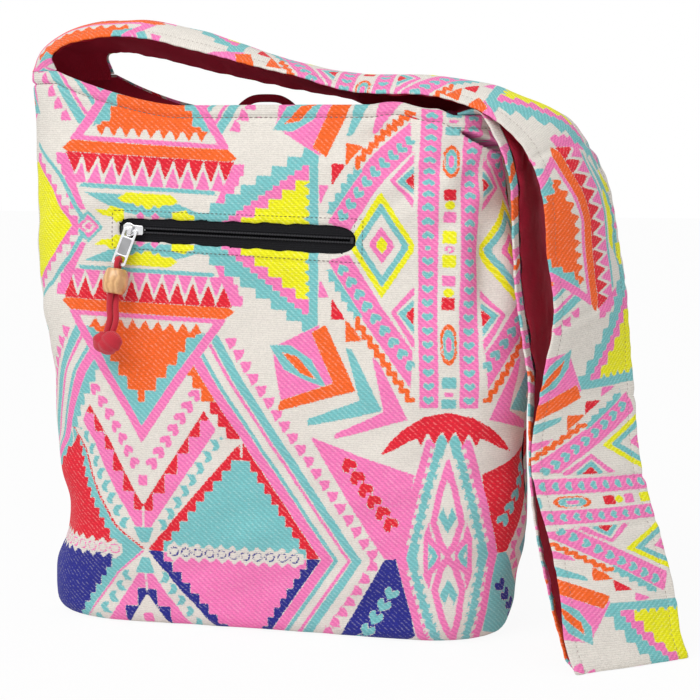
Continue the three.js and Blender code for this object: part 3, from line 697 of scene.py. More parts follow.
def weave_bands(w):
    """Strips that run from the chevrons down beside the diamond."""
    w.fill("cream", band(46.5, 98))
    w.fill("cream", band(30, 48, 152))
    w.stamps("pink", HEART, (43, 119), (-5.8, 8.9), 7, 9.6, 35)
    for colour, v_low, v_high, steps in (("red", 152, 180, 3), ("orange", 180, 238, 6)):
        foot, head = band_spot(47, v_low), band_spot(47, v_high)
        inner = stairs(spot(head[0] - 8, head[1]), spot(foot[0] - 8, foot[1]), steps)
        w.fill((colour, colour, "aqua", "aqua"), spots(foot, head) + inner)
    for colour, d_low, d_high in (("pink", 47, 56), ("aqua", 56.6, 60), ("pink", 67, 70), ("aqua", 71, 79)):
        w.fill(colour, band(d_low, d_high))
    for k in range(19):
        w.stamp("pink", FLAG, spot(-24 + 6 * k, 224 - 8.7 * k), (9.6, 9.6))


def weave_triangle(w):
    """The inverted triangle on axis A with its teeth, and the zip row above it."""
    w.fill("cream", [(PAST, 26), (74, 26), (74, 56), (66, 62), (PAST, 171)])
    w.fill("pink", [(66, 62), (PAST, 171), (PAST, 158), (57.5, 62)])
    w.fill("aqua", [(54, 67), (PAST, 158), (PAST, 67)])
    w.fill("cream", [(PAST, 65), (56, 65), (50.5, 73), (PAST, 73)])
    w.stamps("orange", TRIANGLE, (0, 70), (10.5, 0), 5, (9.6, 8))
    w.fill("orange", [(PAST, 73), (43, 73), (41, 77), (34, 77), (34, 88), (28, 88), (28, 98), (20, 98),
                      (20, 108), (12, 108), (12, 118), (3, 118), (3, 127), (PAST, 127)])
    w.fill("pink", [(PAST, 62), (62, 62), (59, 65.5), (PAST, 65.5)])
    w.fill("orange", [(PAST, 53), (66, 53), (72, 56), (64, 62), (PAST, 62)])
    w.stamps("pink", TRIANGLE, (6.3, 39.2), (12.6, 0), 5, (11.8, 15.4), 180)
    w.stamps("red", TRIANGLE, (0, 45.2), (12.6, 0), 6, (13.2, 16.4))
    w.fill("aqua", [(PAST, 28.5), (56, 28.5), (54, 31.5), (PAST, 31.5)])
    w.fill(("aqua", "aqua", None, None), [(PAST, 9), (24, 10), (44, 14), (22, 21), (PAST, 25)])
    w.fill((None, None, "aqua", "aqua"), [(PAST, 9), (20, 12), (34, 17), (52, 25), (10, 25), (PAST, 25)])
    w.fill("yellow", [(PAST, 18), (2, 15), (5, 18.5), (9, 16), (12, 19), (20, 19), (25, 22),
                      (18, 26.5), (PAST, 26.5)])
    w.fill("yellow", [(20, 6), (26, 4), (30, 8), (38, 9), (44, 13), (34, 13), (31, 16), (20, 14)])
    w.stamp("pink", DIAMOND, (6, 10), (4, 3.4))
    w.nest(DIAMOND, (49, 0), ("aqua", 12, 12), ("pink", 9, 9), ("cream", 5.5, 5.5), ("pink", 3, 3))
    w.fill("pink", [(50, 12), (69, 52)] + stairs((78, 52), (59, 12), 5))
    if w.side_block:
        tip, end = (57, PAST), (112, PAST)
        w.line((None, None, "aqua", "aqua"), [(53, 6), (64, 24), (84, 44), (104, 56)], 3.4)
        w.fill((None, None, "pink", "pink"), [tip] + stairs((57, 0), (106, 50), 7) + [end])
        block = [(62, PAST), (62, 0), (70, 10), (80, 22), (92, 33), (106, 43), (114, 43), (114, PAST)]
        w.fill((None, None, "yellow", "yellow"), block)


def weave_zip_block(w):
    """Stepped triangles under the zip, one in another, and small triangles beside them."""
    aqua, pink, yellow = ((colour, colour) + ((None, None) if w.side_block else (colour, colour))
                          for colour in ("aqua", "pink", "yellow"))
    corner, foot, tip = spots((43, 298), (43, 234), (-52, 298))
    w.fill(aqua, [corner, foot] + stairs(tip, foot, 8)[::-1] + [tip])
    w.fill(pink, spots((36, 298), (36, 247)) + stairs(spot(-31, 298), spot(36, 247), 12)[::-1])
    corner, foot, tip = spots((36, 298), (36, 251), (-26, 298))
    w.fill(yellow, [corner] + stairs(foot, tip, 6))
    for v in (262, 270, 278, 286, 294):
        w.stamp(aqua, TRIANGLE, spot(34.5, v), (6, 6), -90)
    for colour, points in (
        ("pink", ((44, 275), (51, 260), (43, 260))),
        ("red", ((53, 260), (64, 244), (53, 244))),
        ("orange", ((64, 245), (77, 229), (64, 228))),
    ):
        w.patch(colour, *points)


def weave_eye(w):
    """The nested eye and the tapered chevrons around it."""
    w.patch("pink", (84, 218), (89, 214), (111, 172), (56, 156), (57, 160), (93, 177))
    w.patch("aqua", (64, 224), (69, 222), (92, 178), (36, 165), (36, 170), (75, 185))
    w.patch("pink", (8, 222), (44, 240), (57, 198), (16, 182))
    w.patch("orange", (38, 234), (49, 240), (72, 192), (13, 175), (15, 183), (55, 197))
    w.patch("aqua", (6, 224), (22, 224), (38, 214), (50, 194), (36, 198), (18, 206))
    w.patch("orange", (15, 219), (27, 216), (43, 199), (30, 204))


def weave_diagonal(w):
    """Diagonal band with hearts, and the concentric diamond on the zip row."""
    w.patch("cream", (48, 292), (113, 192), (116, 222), (68, 296))
    w.patch("pink", (50, 287), (113, 195), (114, 222), (66, 292))
    w.stamps("aqua", HEART, spot(61, 281), (6.3, 8.7), 9, 8.6, -30)
    w.fill("aqua", spots((53, 281), (77, 246)) + stairs(spot(70, 243), spot(46, 279), 5))
    w.line("orange", stairs(spot(73, 245), spot(115, 187), 9), 3.8)
    w.nest(DIAMOND, spot(90, 298), ("yellow", 25, 39), ("aqua", 20, 31), ("cream", 14.5, 22.5),
           ("pink", 9, 13), ("yellow", 4, 6))
    for colour, top, tip, foot in (("pink", 272, (97, 250), 222), ("cream", 265, (101, 250), 230),
                                   ("aqua", 261.5, (102.5, 249.7), 233), ("red", 257, (107.8, 248.5), 239)):
        w.patch(colour, (116, top), tip, (116, foot))


def weave_totem(w):
    """Columns of hearts and a row of squares on axis B."""
    edge = CELL - PAST
    w.fill("cream", [(210.6, -9), (edge, -9), (edge, 122), (210.6, 122)])
    w.fill("pink", [(213.6, -9), (226.8, -9), (226.8, 122), (213.6, 122)])
    w.stamps("aqua", HEART, (220.2, 10), (0, 10.6), 11, (7.6, 6.8), 180)
    w.stamp("aqua", SQUARE, (220.2, 0), 3.4)
    for colour, v_low, v_high, half in (
        ("yellow", 283.3, 292.5, 4.4), ("pink", 269.8, 277.6, 4.2), ("red", 252.5, 261.5, 4.2),
        ("aqua", 196, 204, 5), ("pink", 190, 193, 3), ("aqua", 181, 188, 5),
    ):
        q_high, q_low = (spot(140, v)[1] for v in (v_high, v_low))
        w.fill(colour, [(CELL - half, q_high), (edge, q_high), (edge, q_low), (CELL - half, q_low)])
    w.ring("yellow", (CELL, spot(140, 265)[1]), 3.5, -1)
    w.ring("pink", (CELL, 0), 3.1, 1.4)
    middle = spot(140, 227.5)[1]
    w.nest(OVAL, (CELL, middle), ("orange", 5.4, 16.2), ("aqua", 3.8, 12.4), ("pink", 1.9, 6.4))


def weave_brow(w):
    """The red brow over the lens on axis B, and the lens itself."""
    fields = ("pink", "blue", "red", "aqua")
    marks = ("red", "aqua", "aqua", "blue")
    w.patch(fields, (38, 157), (60, 149), (90, 139), (116, 131), (112, 104), (106, 82), (102, 60),
            (97, 60))
    w.stamps(marks, HEART, spot(67, 137), (6.2, 9.4), 6, 11.6, -30)
    edge = CELL - PAST
    w.fill("cream", spots((128, 158), (113, 70), (113, 60)) + [(edge, 250), (edge, 150)])
    w.line("aqua", spots((135.5, 158), (125.5, 118), (113.5, 66)) + [(207.5, 250)], 8)
    w.line("pink", spots((128, 155), (118, 118), (106, 66)), 8)
    w.stamps("cream", TRIANGLE, spot(130, 150), (-1.9, 8), 10, (6.5, 4.5), 100)
    w.stamps("cream", TRIANGLE, spot(136, 142), (-1.9, 8), 9, (6.5, 4.5), 100)
    w.line("pink", spots((141, 142), (135, 120), (130.5, 96), (135, 80), (143, 66)), 4.5)
    w.patch("aqua", (142, 122), (134, 100), (142, 84))
    w.patch("cream", (142, 130), (137, 108), (142, 92))
    w.patch("pink", (127, 96), (129, 84), (135, 76), (136, 60), (123, 60), (123, 84))
    w.patch("aqua", (126.5, 80), (131, 75), (134, 68), (134, 60), (126.5, 60))
    w.patch("cream", (127.5, 73), (131, 68), (131, 60), (127.5, 60))
    w.patch("red", (91, 145), (98, 155), (107, 164), (123, 174.5), (140, 178), (156, 178), (156, 163),
            (140, 164.5), (127, 163), (112, 156), (101, 149))
    w.stamps("red", TRIANGLE, spot(121, 158), (9.6, -1.2), 3, (9.6, 11), 180)


def weave(p, q, side_block=True):
    """The whole repeat over points of the cloth; side_block gives the next cell a block by the zip row."""
    w = Weave(p, q, side_block)
    for draw in (weave_diamond, weave_chevrons, weave_bands, weave_triangle, weave_zip_block, weave_eye,
                 weave_diagonal, weave_totem, weave_brow):
        draw(w)
    return w.layers()


# Materials

WHITE = (1, 1, 1, 1)


class Graph:
    """The node tree of a material or world, with short ways to add nodes to it."""

    def __init__(self, owner, main):
        owner.use_nodes = True
        self.owner, self.tree = owner, owner.node_tree
        self.main = self.tree.nodes[main]

    def put(self, socket, value):
        """Joins a socket to another one, or sets its constant."""
        if isinstance(value, bpy.types.NodeSocket):
            self.tree.links.new(value, socket)
        else:
            socket.default_value = value

    def feed(self, values):
        """Joins or sets inputs of the main node."""
        for key, value in values.items():
            self.put(self.main.inputs[key], value)

    def node(self, kind, values=None, **settings):
        """A new node with its settings, and its inputs joined or set."""
        made = self.tree.nodes.new("ShaderNode" + kind)
        for key, value in settings.items():
            setattr(made, key, value)
        for key, value in (values or {}).items():
            self.put(made.inputs[key], value)
        return made

    def calc(self, operation, a, b=0.0, c=0.0):
        return self.node("Math", {0: a, 1: b, 2: c}, operation=operation).outputs[0]

    def plus(self, a, b):
        return self.calc("ADD", a, b)

    def times(self, a, b):
        return self.calc("MULTIPLY", a, b)

    def scaled(self, value, factor, offset):
        return self.calc("MULTIPLY_ADD", value, factor, offset)

    def around_one(self, share, spread):
        """A share 0 to 1 as a factor from 1 - spread to 1 + spread."""
        return self.scaled(share, 2 * spread, 1 - spread)

    def ramp(self, value, low, high):
        return self.node("MapRange", {"Value": value, "From Min": low, "From Max": high}).outputs[0]

    def blend(self, share, a, b):
        """From colour a to colour b."""
        return self.node("Mix", {"Factor": share, 6: a, 7: b}, data_type="RGBA").outputs[2]

    def shade(self, colour, amount):
        """The colour times an amount around 1."""
        return self.node("VectorMath", {0: colour, "Scale": amount}, operation="SCALE").outputs[0]

    def attribute(self, name):
        return self.node("Attribute", attribute_name=name).outputs["Vector"]

    def object_place(self):
        """Millimetres in the object's own frame."""
        place = self.node("TexCoord").outputs["Object"]
        return self.node("VectorMath", {0: place, 1: (1000, 1000, 1000)}, operation="MULTIPLY").outputs[0]

    def split(self, vector):
        return self.node("SeparateXYZ", {0: vector}).outputs

    def noise(self, vector, scale, detail=2.0):
        return self.node("TexNoise", {"Vector": vector, "Scale": scale, "Detail": detail}).outputs["Fac"]

    def wave(self, place, pitch):
        """A ridge for each thread, 0 to 1."""
        return self.scaled(self.calc("SINE", self.times(place, 2 * math.pi / pitch)), 0.5, 0.5)

    def thread_cells(self, cloth, across, up):
        """One seeded value for each crossing of threads; the sizes are in millimetres."""
        counted = self.node("VectorMath", {0: cloth, 1: (1 / across, 1 / up, 1)}, operation="MULTIPLY")
        cell = self.node("VectorMath", {0: counted.outputs[0]}, operation="FLOOR").outputs[0]
        return self.node("TexWhiteNoise", {"Vector": cell}, noise_dimensions="2D").outputs["Value"]

    def bump(self, height, distance, strength=1.0):
        made = self.node("Bump", {"Height": height, "Strength": strength, "Distance": distance})
        self.feed({"Normal": made.outputs[0]})

    def seen(self):
        """1 for what the camera sees itself, or in gloss or glass, and 0 for light on its way."""
        path = self.node("LightPath").outputs
        beyond = self.calc("MAXIMUM", path["Is Glossy Ray"], path["Is Transmission Ray"])
        return self.calc("MAXIMUM", path["Is Camera Ray"], beyond)


def material_graph(name):
    return Graph(bpy.data.materials.new(name), "Principled BSDF")


# Sizes of the weave: a thread, a float over several threads, and a line of the twill
THREAD = 0.95
FLOAT_STEP = 1.6
TWILL_STEP = 3.0

# How far threads jag the edge of a colour, and how soft that edge is
EDGE_JAG = 0.45
EDGE_SOFT = 0.2

# How much cream shows between the floats, and how strong the twill's lines are
FLECK = 0.18
STREAK = 0.16


def jacquard_material():
    """The woven cloth: colour fields with edges that follow the threads, ribs and floats."""
    g = material_graph("jacquard")
    cloth = g.attribute("cloth")
    u, v, _ = g.split(cloth)
    crossing = g.thread_cells(cloth, THREAD, THREAD * 0.8)
    jag = g.scaled(crossing, 2 * EDGE_JAG, -EDGE_JAG)
    colour, covered = linear("cream"), 0.0
    for layer, names in (("tint_a", TINTS[:3]), ("tint_b", TINTS[3:])):
        for depth, name in zip(g.split(g.attribute(layer)), names):
            share = g.ramp(g.plus(depth, jag), -EDGE_SOFT, EDGE_SOFT)
            colour = g.blend(share, colour, linear(name))
            covered = g.calc("MAXIMUM", covered, share)
    dashes = g.thread_cells(cloth, FLOAT_STEP, THREAD)
    twill = g.wave(g.scaled(v, 0.75, g.times(u, 0.66)), TWILL_STEP)
    fleck = g.ramp(g.times(twill, g.scaled(dashes, 0.8, 0.2)), 0.55, 0.8)
    colour = g.blend(g.times(fleck, FLECK), colour, linear("cream"))
    ribs = g.wave(g.plus(v, g.times(g.noise(cloth, 0.15), 1.2)), FLOAT_STEP)
    streak = g.times(g.plus(twill, -0.5), g.times(covered, STREAK))
    tone = g.times(g.around_one(crossing, 0.07), g.around_one(g.noise(cloth, 0.02), 0.06))
    tone = g.times(g.times(tone, g.around_one(ribs, 0.05)), g.plus(streak, 1.0))
    floats = g.scaled(covered, 0.5, g.times(crossing, 0.4))
    threads = g.scaled(g.wave(u, THREAD), 0.35, g.times(ribs, 0.5))
    g.bump(g.plus(floats, threads), 0.00035, 0.8)
    g.feed({"Base Color": g.shade(colour, tone), "Roughness": g.scaled(covered, -0.12, 0.9),
            "Sheen Weight": 0.06, "Specular IOR Level": 0.2})
    return g.owner


def plain_cloth_material(name, colour, pitch, roughness, depth, spread=0.08):
    """Plain weave in one colour."""
    g = material_graph(name)
    cloth = g.attribute("cloth")
    u, v, _ = g.split(cloth)
    crossing = g.thread_cells(cloth, pitch, pitch)
    tone = g.times(g.around_one(crossing, spread), g.around_one(g.noise(cloth, 0.03, 4.0), 0.16))
    over = g.times(g.wave(u, 2 * pitch), g.wave(v, 2 * pitch))
    g.bump(g.scaled(crossing, 0.3, over), depth)
    g.feed({"Base Color": g.shade(linear(colour)[:3], tone),
            "Roughness": g.scaled(crossing, 0.1, roughness - 0.05), "Specular IOR Level": 0.12})
    return g.owner


def metal_material(name, low, high, roughness):
    """Nickel with faint smudges and fine wear."""
    g = material_graph(name)
    place = g.object_place()
    smudge = g.noise(place, 0.12, 3.0)
    dull, bright = ((grey, grey, grey * 1.02, 1) for grey in (low, high))
    g.bump(g.noise(place, 3.0, 4.0), 0.00002)
    g.feed({"Base Color": g.blend(smudge, dull, bright), "Metallic": 1.0,
            "Roughness": g.scaled(smudge, 0.16, roughness)})
    return g.owner


def wood_material():
    """Lacquered light wood with growth rings across the bead."""
    g = material_graph("bead_wood")
    place = g.object_place()
    grain = g.node("TexWave", {"Vector": place, "Scale": 0.07, "Distortion": 7.0, "Detail": 3.0,
                               "Detail Scale": 1.6}, bands_direction="X").outputs["Fac"]
    pores = g.noise(place, 2.2, 5.0)
    share = g.scaled(grain, 0.6, g.times(pores, 0.4))
    g.bump(share, 0.00012)
    g.feed({"Base Color": g.blend(share, (0.5, 0.24, 0.08, 1), (0.88, 0.52, 0.22, 1)),
            "Roughness": g.scaled(pores, 0.2, 0.3), "Coat Weight": 0.8, "Coat Roughness": 0.15})
    return g.owner


def yarn_material(name, colour, pitch):
    """Cotton yarn: a fine twist over the surface."""
    g = material_graph(name)
    place = g.object_place()
    x, _, z = g.split(place)
    twist = g.wave(g.plus(z, g.times(x, 0.7)), pitch)
    fuzz = g.noise(place, 1.6, 4.0)
    tone = g.times(g.around_one(twist, 0.1), g.around_one(fuzz, 0.22))
    g.bump(g.scaled(fuzz, 0.6, twist), 0.0002)
    g.feed({"Base Color": g.shade(linear(colour)[:3], tone), "Roughness": g.scaled(fuzz, 0.2, 0.7),
            "Sheen Weight": 0.2})
    return g.owner


def nylon_material():
    """Black zip nylon, a little glossy."""
    g = material_graph("zip_nylon")
    speck = g.noise(g.object_place(), 2.0, 3.0)
    g.bump(speck, 0.00006)
    g.feed({"Base Color": g.blend(speck, (0.012, 0.012, 0.014, 1), (0.05, 0.05, 0.055, 1)),
            "Roughness": g.scaled(speck, 0.2, 0.5), "Specular IOR Level": 0.2})
    return g.owner


# Studio: strengths of the light, where the lamps stand and which way they look
FLOOR_GLOW = 0.93
FLOOR_HALF = 6.0
FLOOR_LEVEL = -0.0004
WORLD_LIGHT = 0.5
SUNS = (("key", 1.05, 40, (0.55, 0.8, -0.85)), ("fill", 0.2, 90, (-0.9, 0.6, -0.5)))
TOP_LIGHT = 3.0
TOP_SIZE = 0.6
TOP_PLACE = (-0.02, -0.75, 1.05)
TOP_AIM = (0.05, 0.72, -0.68)


def floor_material():
    """A white floor that keeps the bag's soft shadow."""
    g = material_graph("floor")
    g.feed({"Base Color": (0.92, 0.92, 0.92, 1), "Roughness": 1.0, "Specular IOR Level": 0.0})
    glow = g.node("Emission", {"Color": WHITE, "Strength": 1.0})
    share = g.times(g.seen(), FLOOR_GLOW)
    mixed = g.node("MixShader", {0: share, 1: g.main.outputs[0], 2: glow.outputs[0]})
    g.put(g.tree.nodes["Material Output"].inputs["Surface"], mixed.outputs[0])
    return g.owner


def aimed(direction):
    """The turn of a camera or lamp that looks along a direction."""
    return Vector(direction).to_track_quat("-Z", "Y").to_euler()


def studio():
    """Camera, soft light and floor."""
    scene = bpy.context.scene
    scene.view_settings.view_transform = "Standard"
    lens = bpy.data.cameras.new("camera")
    lens.lens, lens.sensor_width = CAMERA_LENS, CAMERA_SENSOR
    scene.camera = add_to_scene("camera", lens)
    scene.camera.location = CAMERA_EYE
    scene.camera.rotation_euler = aimed(Vector(CAMERA_AIM) - Vector(CAMERA_EYE))
    for name, strength, spread, direction in SUNS:
        lamp = bpy.data.lights.new(name, "SUN")
        lamp.energy, lamp.angle = strength, math.radians(spread)
        add_to_scene(name, lamp).rotation_euler = aimed(direction)
    panel = bpy.data.lights.new("top", "AREA")
    panel.energy, panel.size = TOP_LIGHT, TOP_SIZE
    holder = add_to_scene("top", panel)
    holder.location, holder.rotation_euler = TOP_PLACE, aimed(TOP_AIM)
    scene.world = bpy.data.worlds.new("studio")
    g = Graph(scene.world, "Background")
    g.feed({"Color": WHITE, "Strength": g.scaled(g.seen(), 1 - WORLD_LIGHT, WORLD_LIGHT)})
    mesh = bpy.data.meshes.new("floor")
    corners = [(x * FLOOR_HALF, y * FLOOR_HALF, FLOOR_LEVEL) for x, y in ((-1, -1), (1, -1), (1, 1), (-1, 1))]
    mesh.from_pydata(corners, [], [(0, 1, 2, 3)])
    mesh.materials.append(floor_material())
    add_to_scene("floor", mesh)


studio()
JACQUARD = jacquard_material()
LINING_CLOTH = plain_cloth_material("lining_cotton", "maroon", 0.5, 0.85, 0.0002)
TAPE_CLOTH = plain_cloth_material("zip_tape_weave", "black", 0.7, 0.7, 0.0002, 0.3)
METAL = metal_material("nickel", 0.74, 0.84, 0.14)
# A darker copy of the nickel for the tab's sunk panel: painted shade of its recess, not a different metal
PANEL_NICKEL_PAINTED_SHADE = metal_material("nickel_painted_shade", 0.2, 0.34, 0.4)
WOOD = wood_material()
CORD_YARN = yarn_material("cord_cotton", "cord", 0.9)
DARK_THREAD = yarn_material("dark_thread", "thread", 0.5)
# Stitch thread in the greyed pale colour, which holds painted shade of the hem's groove as well as the
# thread's own colour
PALE_THREAD_PAINTED_SHADE = yarn_material("pale_thread_painted_shade", "pale thread painted shade", 0.5)
NYLON = nylon_material()


# Outer cloth of the walls

def wall_grid(side, step, floor_z, radius, inset_at, top, tuck):
    """Rows of points of a wall: base bend, wall, rolled hem and tuck, with cloth coordinates."""
    columns = int(CLOTH_WIDTH / step)
    place = np.linspace(0, 1, columns)
    edge = mouth(place, side) + top
    rows = []
    for turn in np.linspace(0, math.pi / 2, BEND_ROWS + 1)[:-1]:
        z = np.full(columns, floor_z + radius * (1 - math.cos(turn)))
        rows.append((z, inset_at(z) + radius * (1 - math.sin(turn)), z))
    low = floor_z + radius
    for share in np.linspace(0, 1, int((BODY_HEIGHT - low) / step)):
        z = mix(low, edge - HEM_ROLL, share)
        rows.append((z, inset_at(z), z))
    if tuck:
        hem = inset_at(edge)
        for turn in np.linspace(0, math.pi, ROLL_ROWS + 1)[1:]:
            rows.append((edge - HEM_ROLL + HEM_ROLL * math.sin(turn), hem + HEM_ROLL * (1 - math.cos(turn)),
                         edge + HEM_ROLL * turn))
        for down in np.linspace(0, tuck, max(int(tuck / step), 3))[1:]:
            rows.append((edge - HEM_ROLL - down, hem + 2 * HEM_ROLL, edge + ROLL_RUN + down))
    points, along = zip(*(wall(place, z, side, inset) for z, inset, _ in rows))
    cloth_v = np.stack([np.broadcast_to(v, (columns,)) for _, _, v in rows])
    return np.stack(points), np.stack(along), cloth_v, np.broadcast_to(edge, cloth_v.shape), place


def on_zip(x, z):
    """Places along the zip and up from it, as x and z on the front."""
    turn = math.radians(ZIP_TILT)
    return (ZIP_MIDDLE + x * math.cos(turn) + z * math.sin(turn),
            ZIP_HEIGHT - x * math.sin(turn) + z * math.cos(turn))


def slot_outline():
    """Outline of the zip slot on the front, in x and z, with round ends and puckered long edges."""
    left, right = ZIP_MIDDLE - ZIP_LENGTH / 2, ZIP_MIDDLE + ZIP_LENGTH / 2
    low, tall = SLOT_LEFT_HEIGHT / 2, SLOT_RIGHT_HEIGHT / 2
    corner_l, corner_r = left + SLOT_LEFT_HEIGHT * SLOT_END_LEFT, right - SLOT_RIGHT_HEIGHT * SLOT_END_RIGHT
    points = []

    def bend(a, control, b, steps=8):
        a, control, b = np.array((a, control, b), float)
        for t in np.linspace(0, 1, steps, endpoint=bool(b[1] != 0)):
            points.append(tuple((1 - t) ** 2 * a + 2 * t * (1 - t) * control + t * t * b))

    def edge(a, b, phase, steps=60):
        for t in np.linspace(0, 1, steps)[1:-1]:
            x, z = mix(a[0], b[0], t), mix(a[1], b[1], t)
            pucker = 0.45 * math.sin(x / 4.1 + phase) + 0.3 * math.sin(x / 1.9 + 2 * phase)
            points.append((x, z + min(6 * t, 6 - 6 * t, 1) * pucker))

    bend((corner_r, -tall), (right, -tall), (right, 0))
    bend((right, 0), (right, tall), (corner_r, tall))
    edge((corner_r, tall), (corner_l, low), 0.4)
    bend((corner_l, low), (left, low), (left, 0))
    bend((left, 0), (left, -low), (corner_l, -low))
    edge((corner_l, -low), (corner_r, -tall), 1.9)
    return [on_zip(x - ZIP_MIDDLE, z) for x, z in points]


# Folds of the slouching front: from, to, half width, depth
FRONT_FOLDS = (
    ((156, 318), (172, 246), 11, 6.0), ((-176, 330), (-120, 372), 10, 2.2),
    ((60, 392), (110, 350), 9, 1.8), ((-150, 40), (-60, 14), 12, 2.2), ((40, 16), (140, 34), 12, 2.0),
    ((100, 150), (168, 120), 14, 1.8), ((-165, 150), (-110, 110), 16, 2.4), ((172, 340), (150, 200), 9, 2.5),
    ((146, 372), (92, 322), 7, 2.2), ((158, 362), (128, 300), 7, 2.0), ((112, 386), (58, 366), 6, 1.8),
)
BACK_FOLDS = (
    ((-150, 370), (-70, 330), 12, 3.0), ((60, 380), (150, 320), 12, 3.0), ((-120, 60), (20, 24), 16, 2.5),
    ((30, 200), (120, 150), 20, 2.6), ((-90, 260), (-20, 190), 20, 2.2),
)


# Middle of the cloth that the bead swings over, which lies flat, and how far it does to the sides and up
BEAD_SWING = (-108, 266)
BEAD_ASIDE, BEAD_UP = (45, 75), (40, 64)

# The welt around the slot: height, distance and width of its ridge and of its stitched groove
WELT_RIDGE, WELT_GROOVE = (0.5, 4, 2.5), (0.5, 7.5, 1.0)

# The fold that overhangs under the hem beside the strap's root
LIP_FROM, LIP_TO = (128, 387), (181, 368)
LIP_WIDTH, LIP_DEPTH, LIP_STAND, LIP_SOFT = 6.5, 30, 3.5, 1.8
LIP_ROOM = 5


def lip_fold(u, v, spread=0.0):
    """Share of each point that lies in the fold under the hem, and how far its lips stand out."""
    t = (u - LIP_FROM[0]) / (LIP_TO[0] - LIP_FROM[0])
    below = LIP_FROM[1] + t * (LIP_TO[1] - LIP_FROM[1]) - v
    width = LIP_WIDTH * plateau(t, 0, 0.6, 0.86, 1)
    inside = plateau(below, -spread, LIP_SOFT - spread, width - LIP_SOFT + spread, width + spread)
    near = np.maximum(np.maximum(-below, below - width), 0)
    return inside * smoothstep(width, 2, 5), bell(near, 6) * smoothstep(width, 0, LIP_WIDTH)


def fold_relief(u, v, folds):
    """Creases of the cloth, each with a soft ridge beside it."""
    out = 0.0
    for a, b, half, depth in folds:
        apart, t = segment_distance(u, v, a, b)
        fade = np.sin(math.pi * np.clip(t, 0.04, 0.96)) ** 0.6
        ridge = bell(apart - 1.7 * half, half)
        out = out + fade * depth * (0.45 * ridge - bell(apart, half))
    return out


# How much fuller the right side stands beside the strap, and the heights between which it does
RIGHT_FULL = 7
RIGHT_FULL_RANGE = (130, 220, 245, 330)

# Waves of a wall: height, shortest and longest length; they are calm at the base, and calmer near the hem
SLOUCH_WAVES = ((2.0, 80, 190), (0.6, 24, 60))
CALM_AT_HEM = 0.45

# The hem's band: how far it stands out, its stitched groove and the puckers along that
HEM_STAND, HEM_GROOVE, HEM_PUCKER, PUCKER_STEP = 0.9, 2.0, 0.3, 12.5

# The groove of a side seam and the ridge of the turned cloth beside it
SEAM_GROOVE, SEAM_RIDGE, SEAM_TURN = 1.4, 0.5, 8


def slouch(u, v, edge, place, folds, seed):
    """How far the cloth stands out of its plain wall."""
    calm = smoothstep(v, 0, 30) * (1 - CALM_AT_HEM * smoothstep(v, 335, 385))
    out = waves(u, v, seed, SLOUCH_WAVES) * calm + fold_relief(u, v, folds)
    out = out + RIGHT_FULL * smoothstep(place, 0.8, 1.0) * plateau(v, *RIGHT_FULL_RANGE)
    from_groove = edge - v - HEM_BAND
    out = out + HEM_STAND * smoothstep(-from_groove, -1, 1) - HEM_GROOVE * bell(from_groove, 1.3)
    pucker = np.sin(u * 2 * math.pi / PUCKER_STEP + 2 * np.sin(u / 31))
    out = out + HEM_PUCKER * pucker * bell(from_groove, 6)
    seam = np.minimum(place, 1 - place) * CLOTH_WIDTH
    return out - SEAM_GROOVE * bell(seam, 3.5) + SEAM_RIDGE * bell(seam - SEAM_TURN, 4)


def cloth_layers(u, v, tints=None):
    """Point values of cloth: its own coordinates, and how deep each point lies in each colour."""
    layers = dict(tints or {})
    layers["cloth"] = np.stack([np.ravel(u), np.ravel(v), np.zeros(np.size(u))], -1)
    return layers


def compact(verts, faces, layers):
    """Drops points that no face uses."""
    faces = np.asarray(faces)
    used = np.unique(faces)
    renumber = np.zeros(len(verts), int)
    renumber[used] = np.arange(len(used))
    return verts[used], renumber[faces], {key: np.asarray(value)[used] for key, value in layers.items()}


class Surface:
    """A wall's finished grid, to lay stitches on."""

    def __init__(self, grid, side, edge_row, first_row, low):
        self.grid = grid
        self.normals = -side * grid_normals(grid)
        self.side, self.rows, self.first, self.low = side, edge_row, first_row, low

    def at(self, u, v):
        """Points and normals at runs u and heights v."""
        place = wall_place(np.asarray(u, float), np.asarray(v, float))
        top = mouth(place, self.side) - HEM_ROLL
        column = clip01(place) * (self.grid.shape[1] - 1)
        row = self.first + clip01((v - self.low) / (top - self.low)) * (self.rows - self.first)
        j = np.minimum(row.astype(int), self.grid.shape[0] - 2)
        i = np.minimum(column.astype(int), self.grid.shape[1] - 2)
        a, b = (row - j)[:, None], (column - i)[:, None]
        out = []
        for values in (self.grid, self.normals):
            lower = values[j, i] * (1 - b) + values[j, i + 1] * b
            upper = values[j + 1, i] * (1 - b) + values[j + 1, i + 1] * b
            out.append(lower * (1 - a) + upper * a)
        return out[0], unit(out[1])


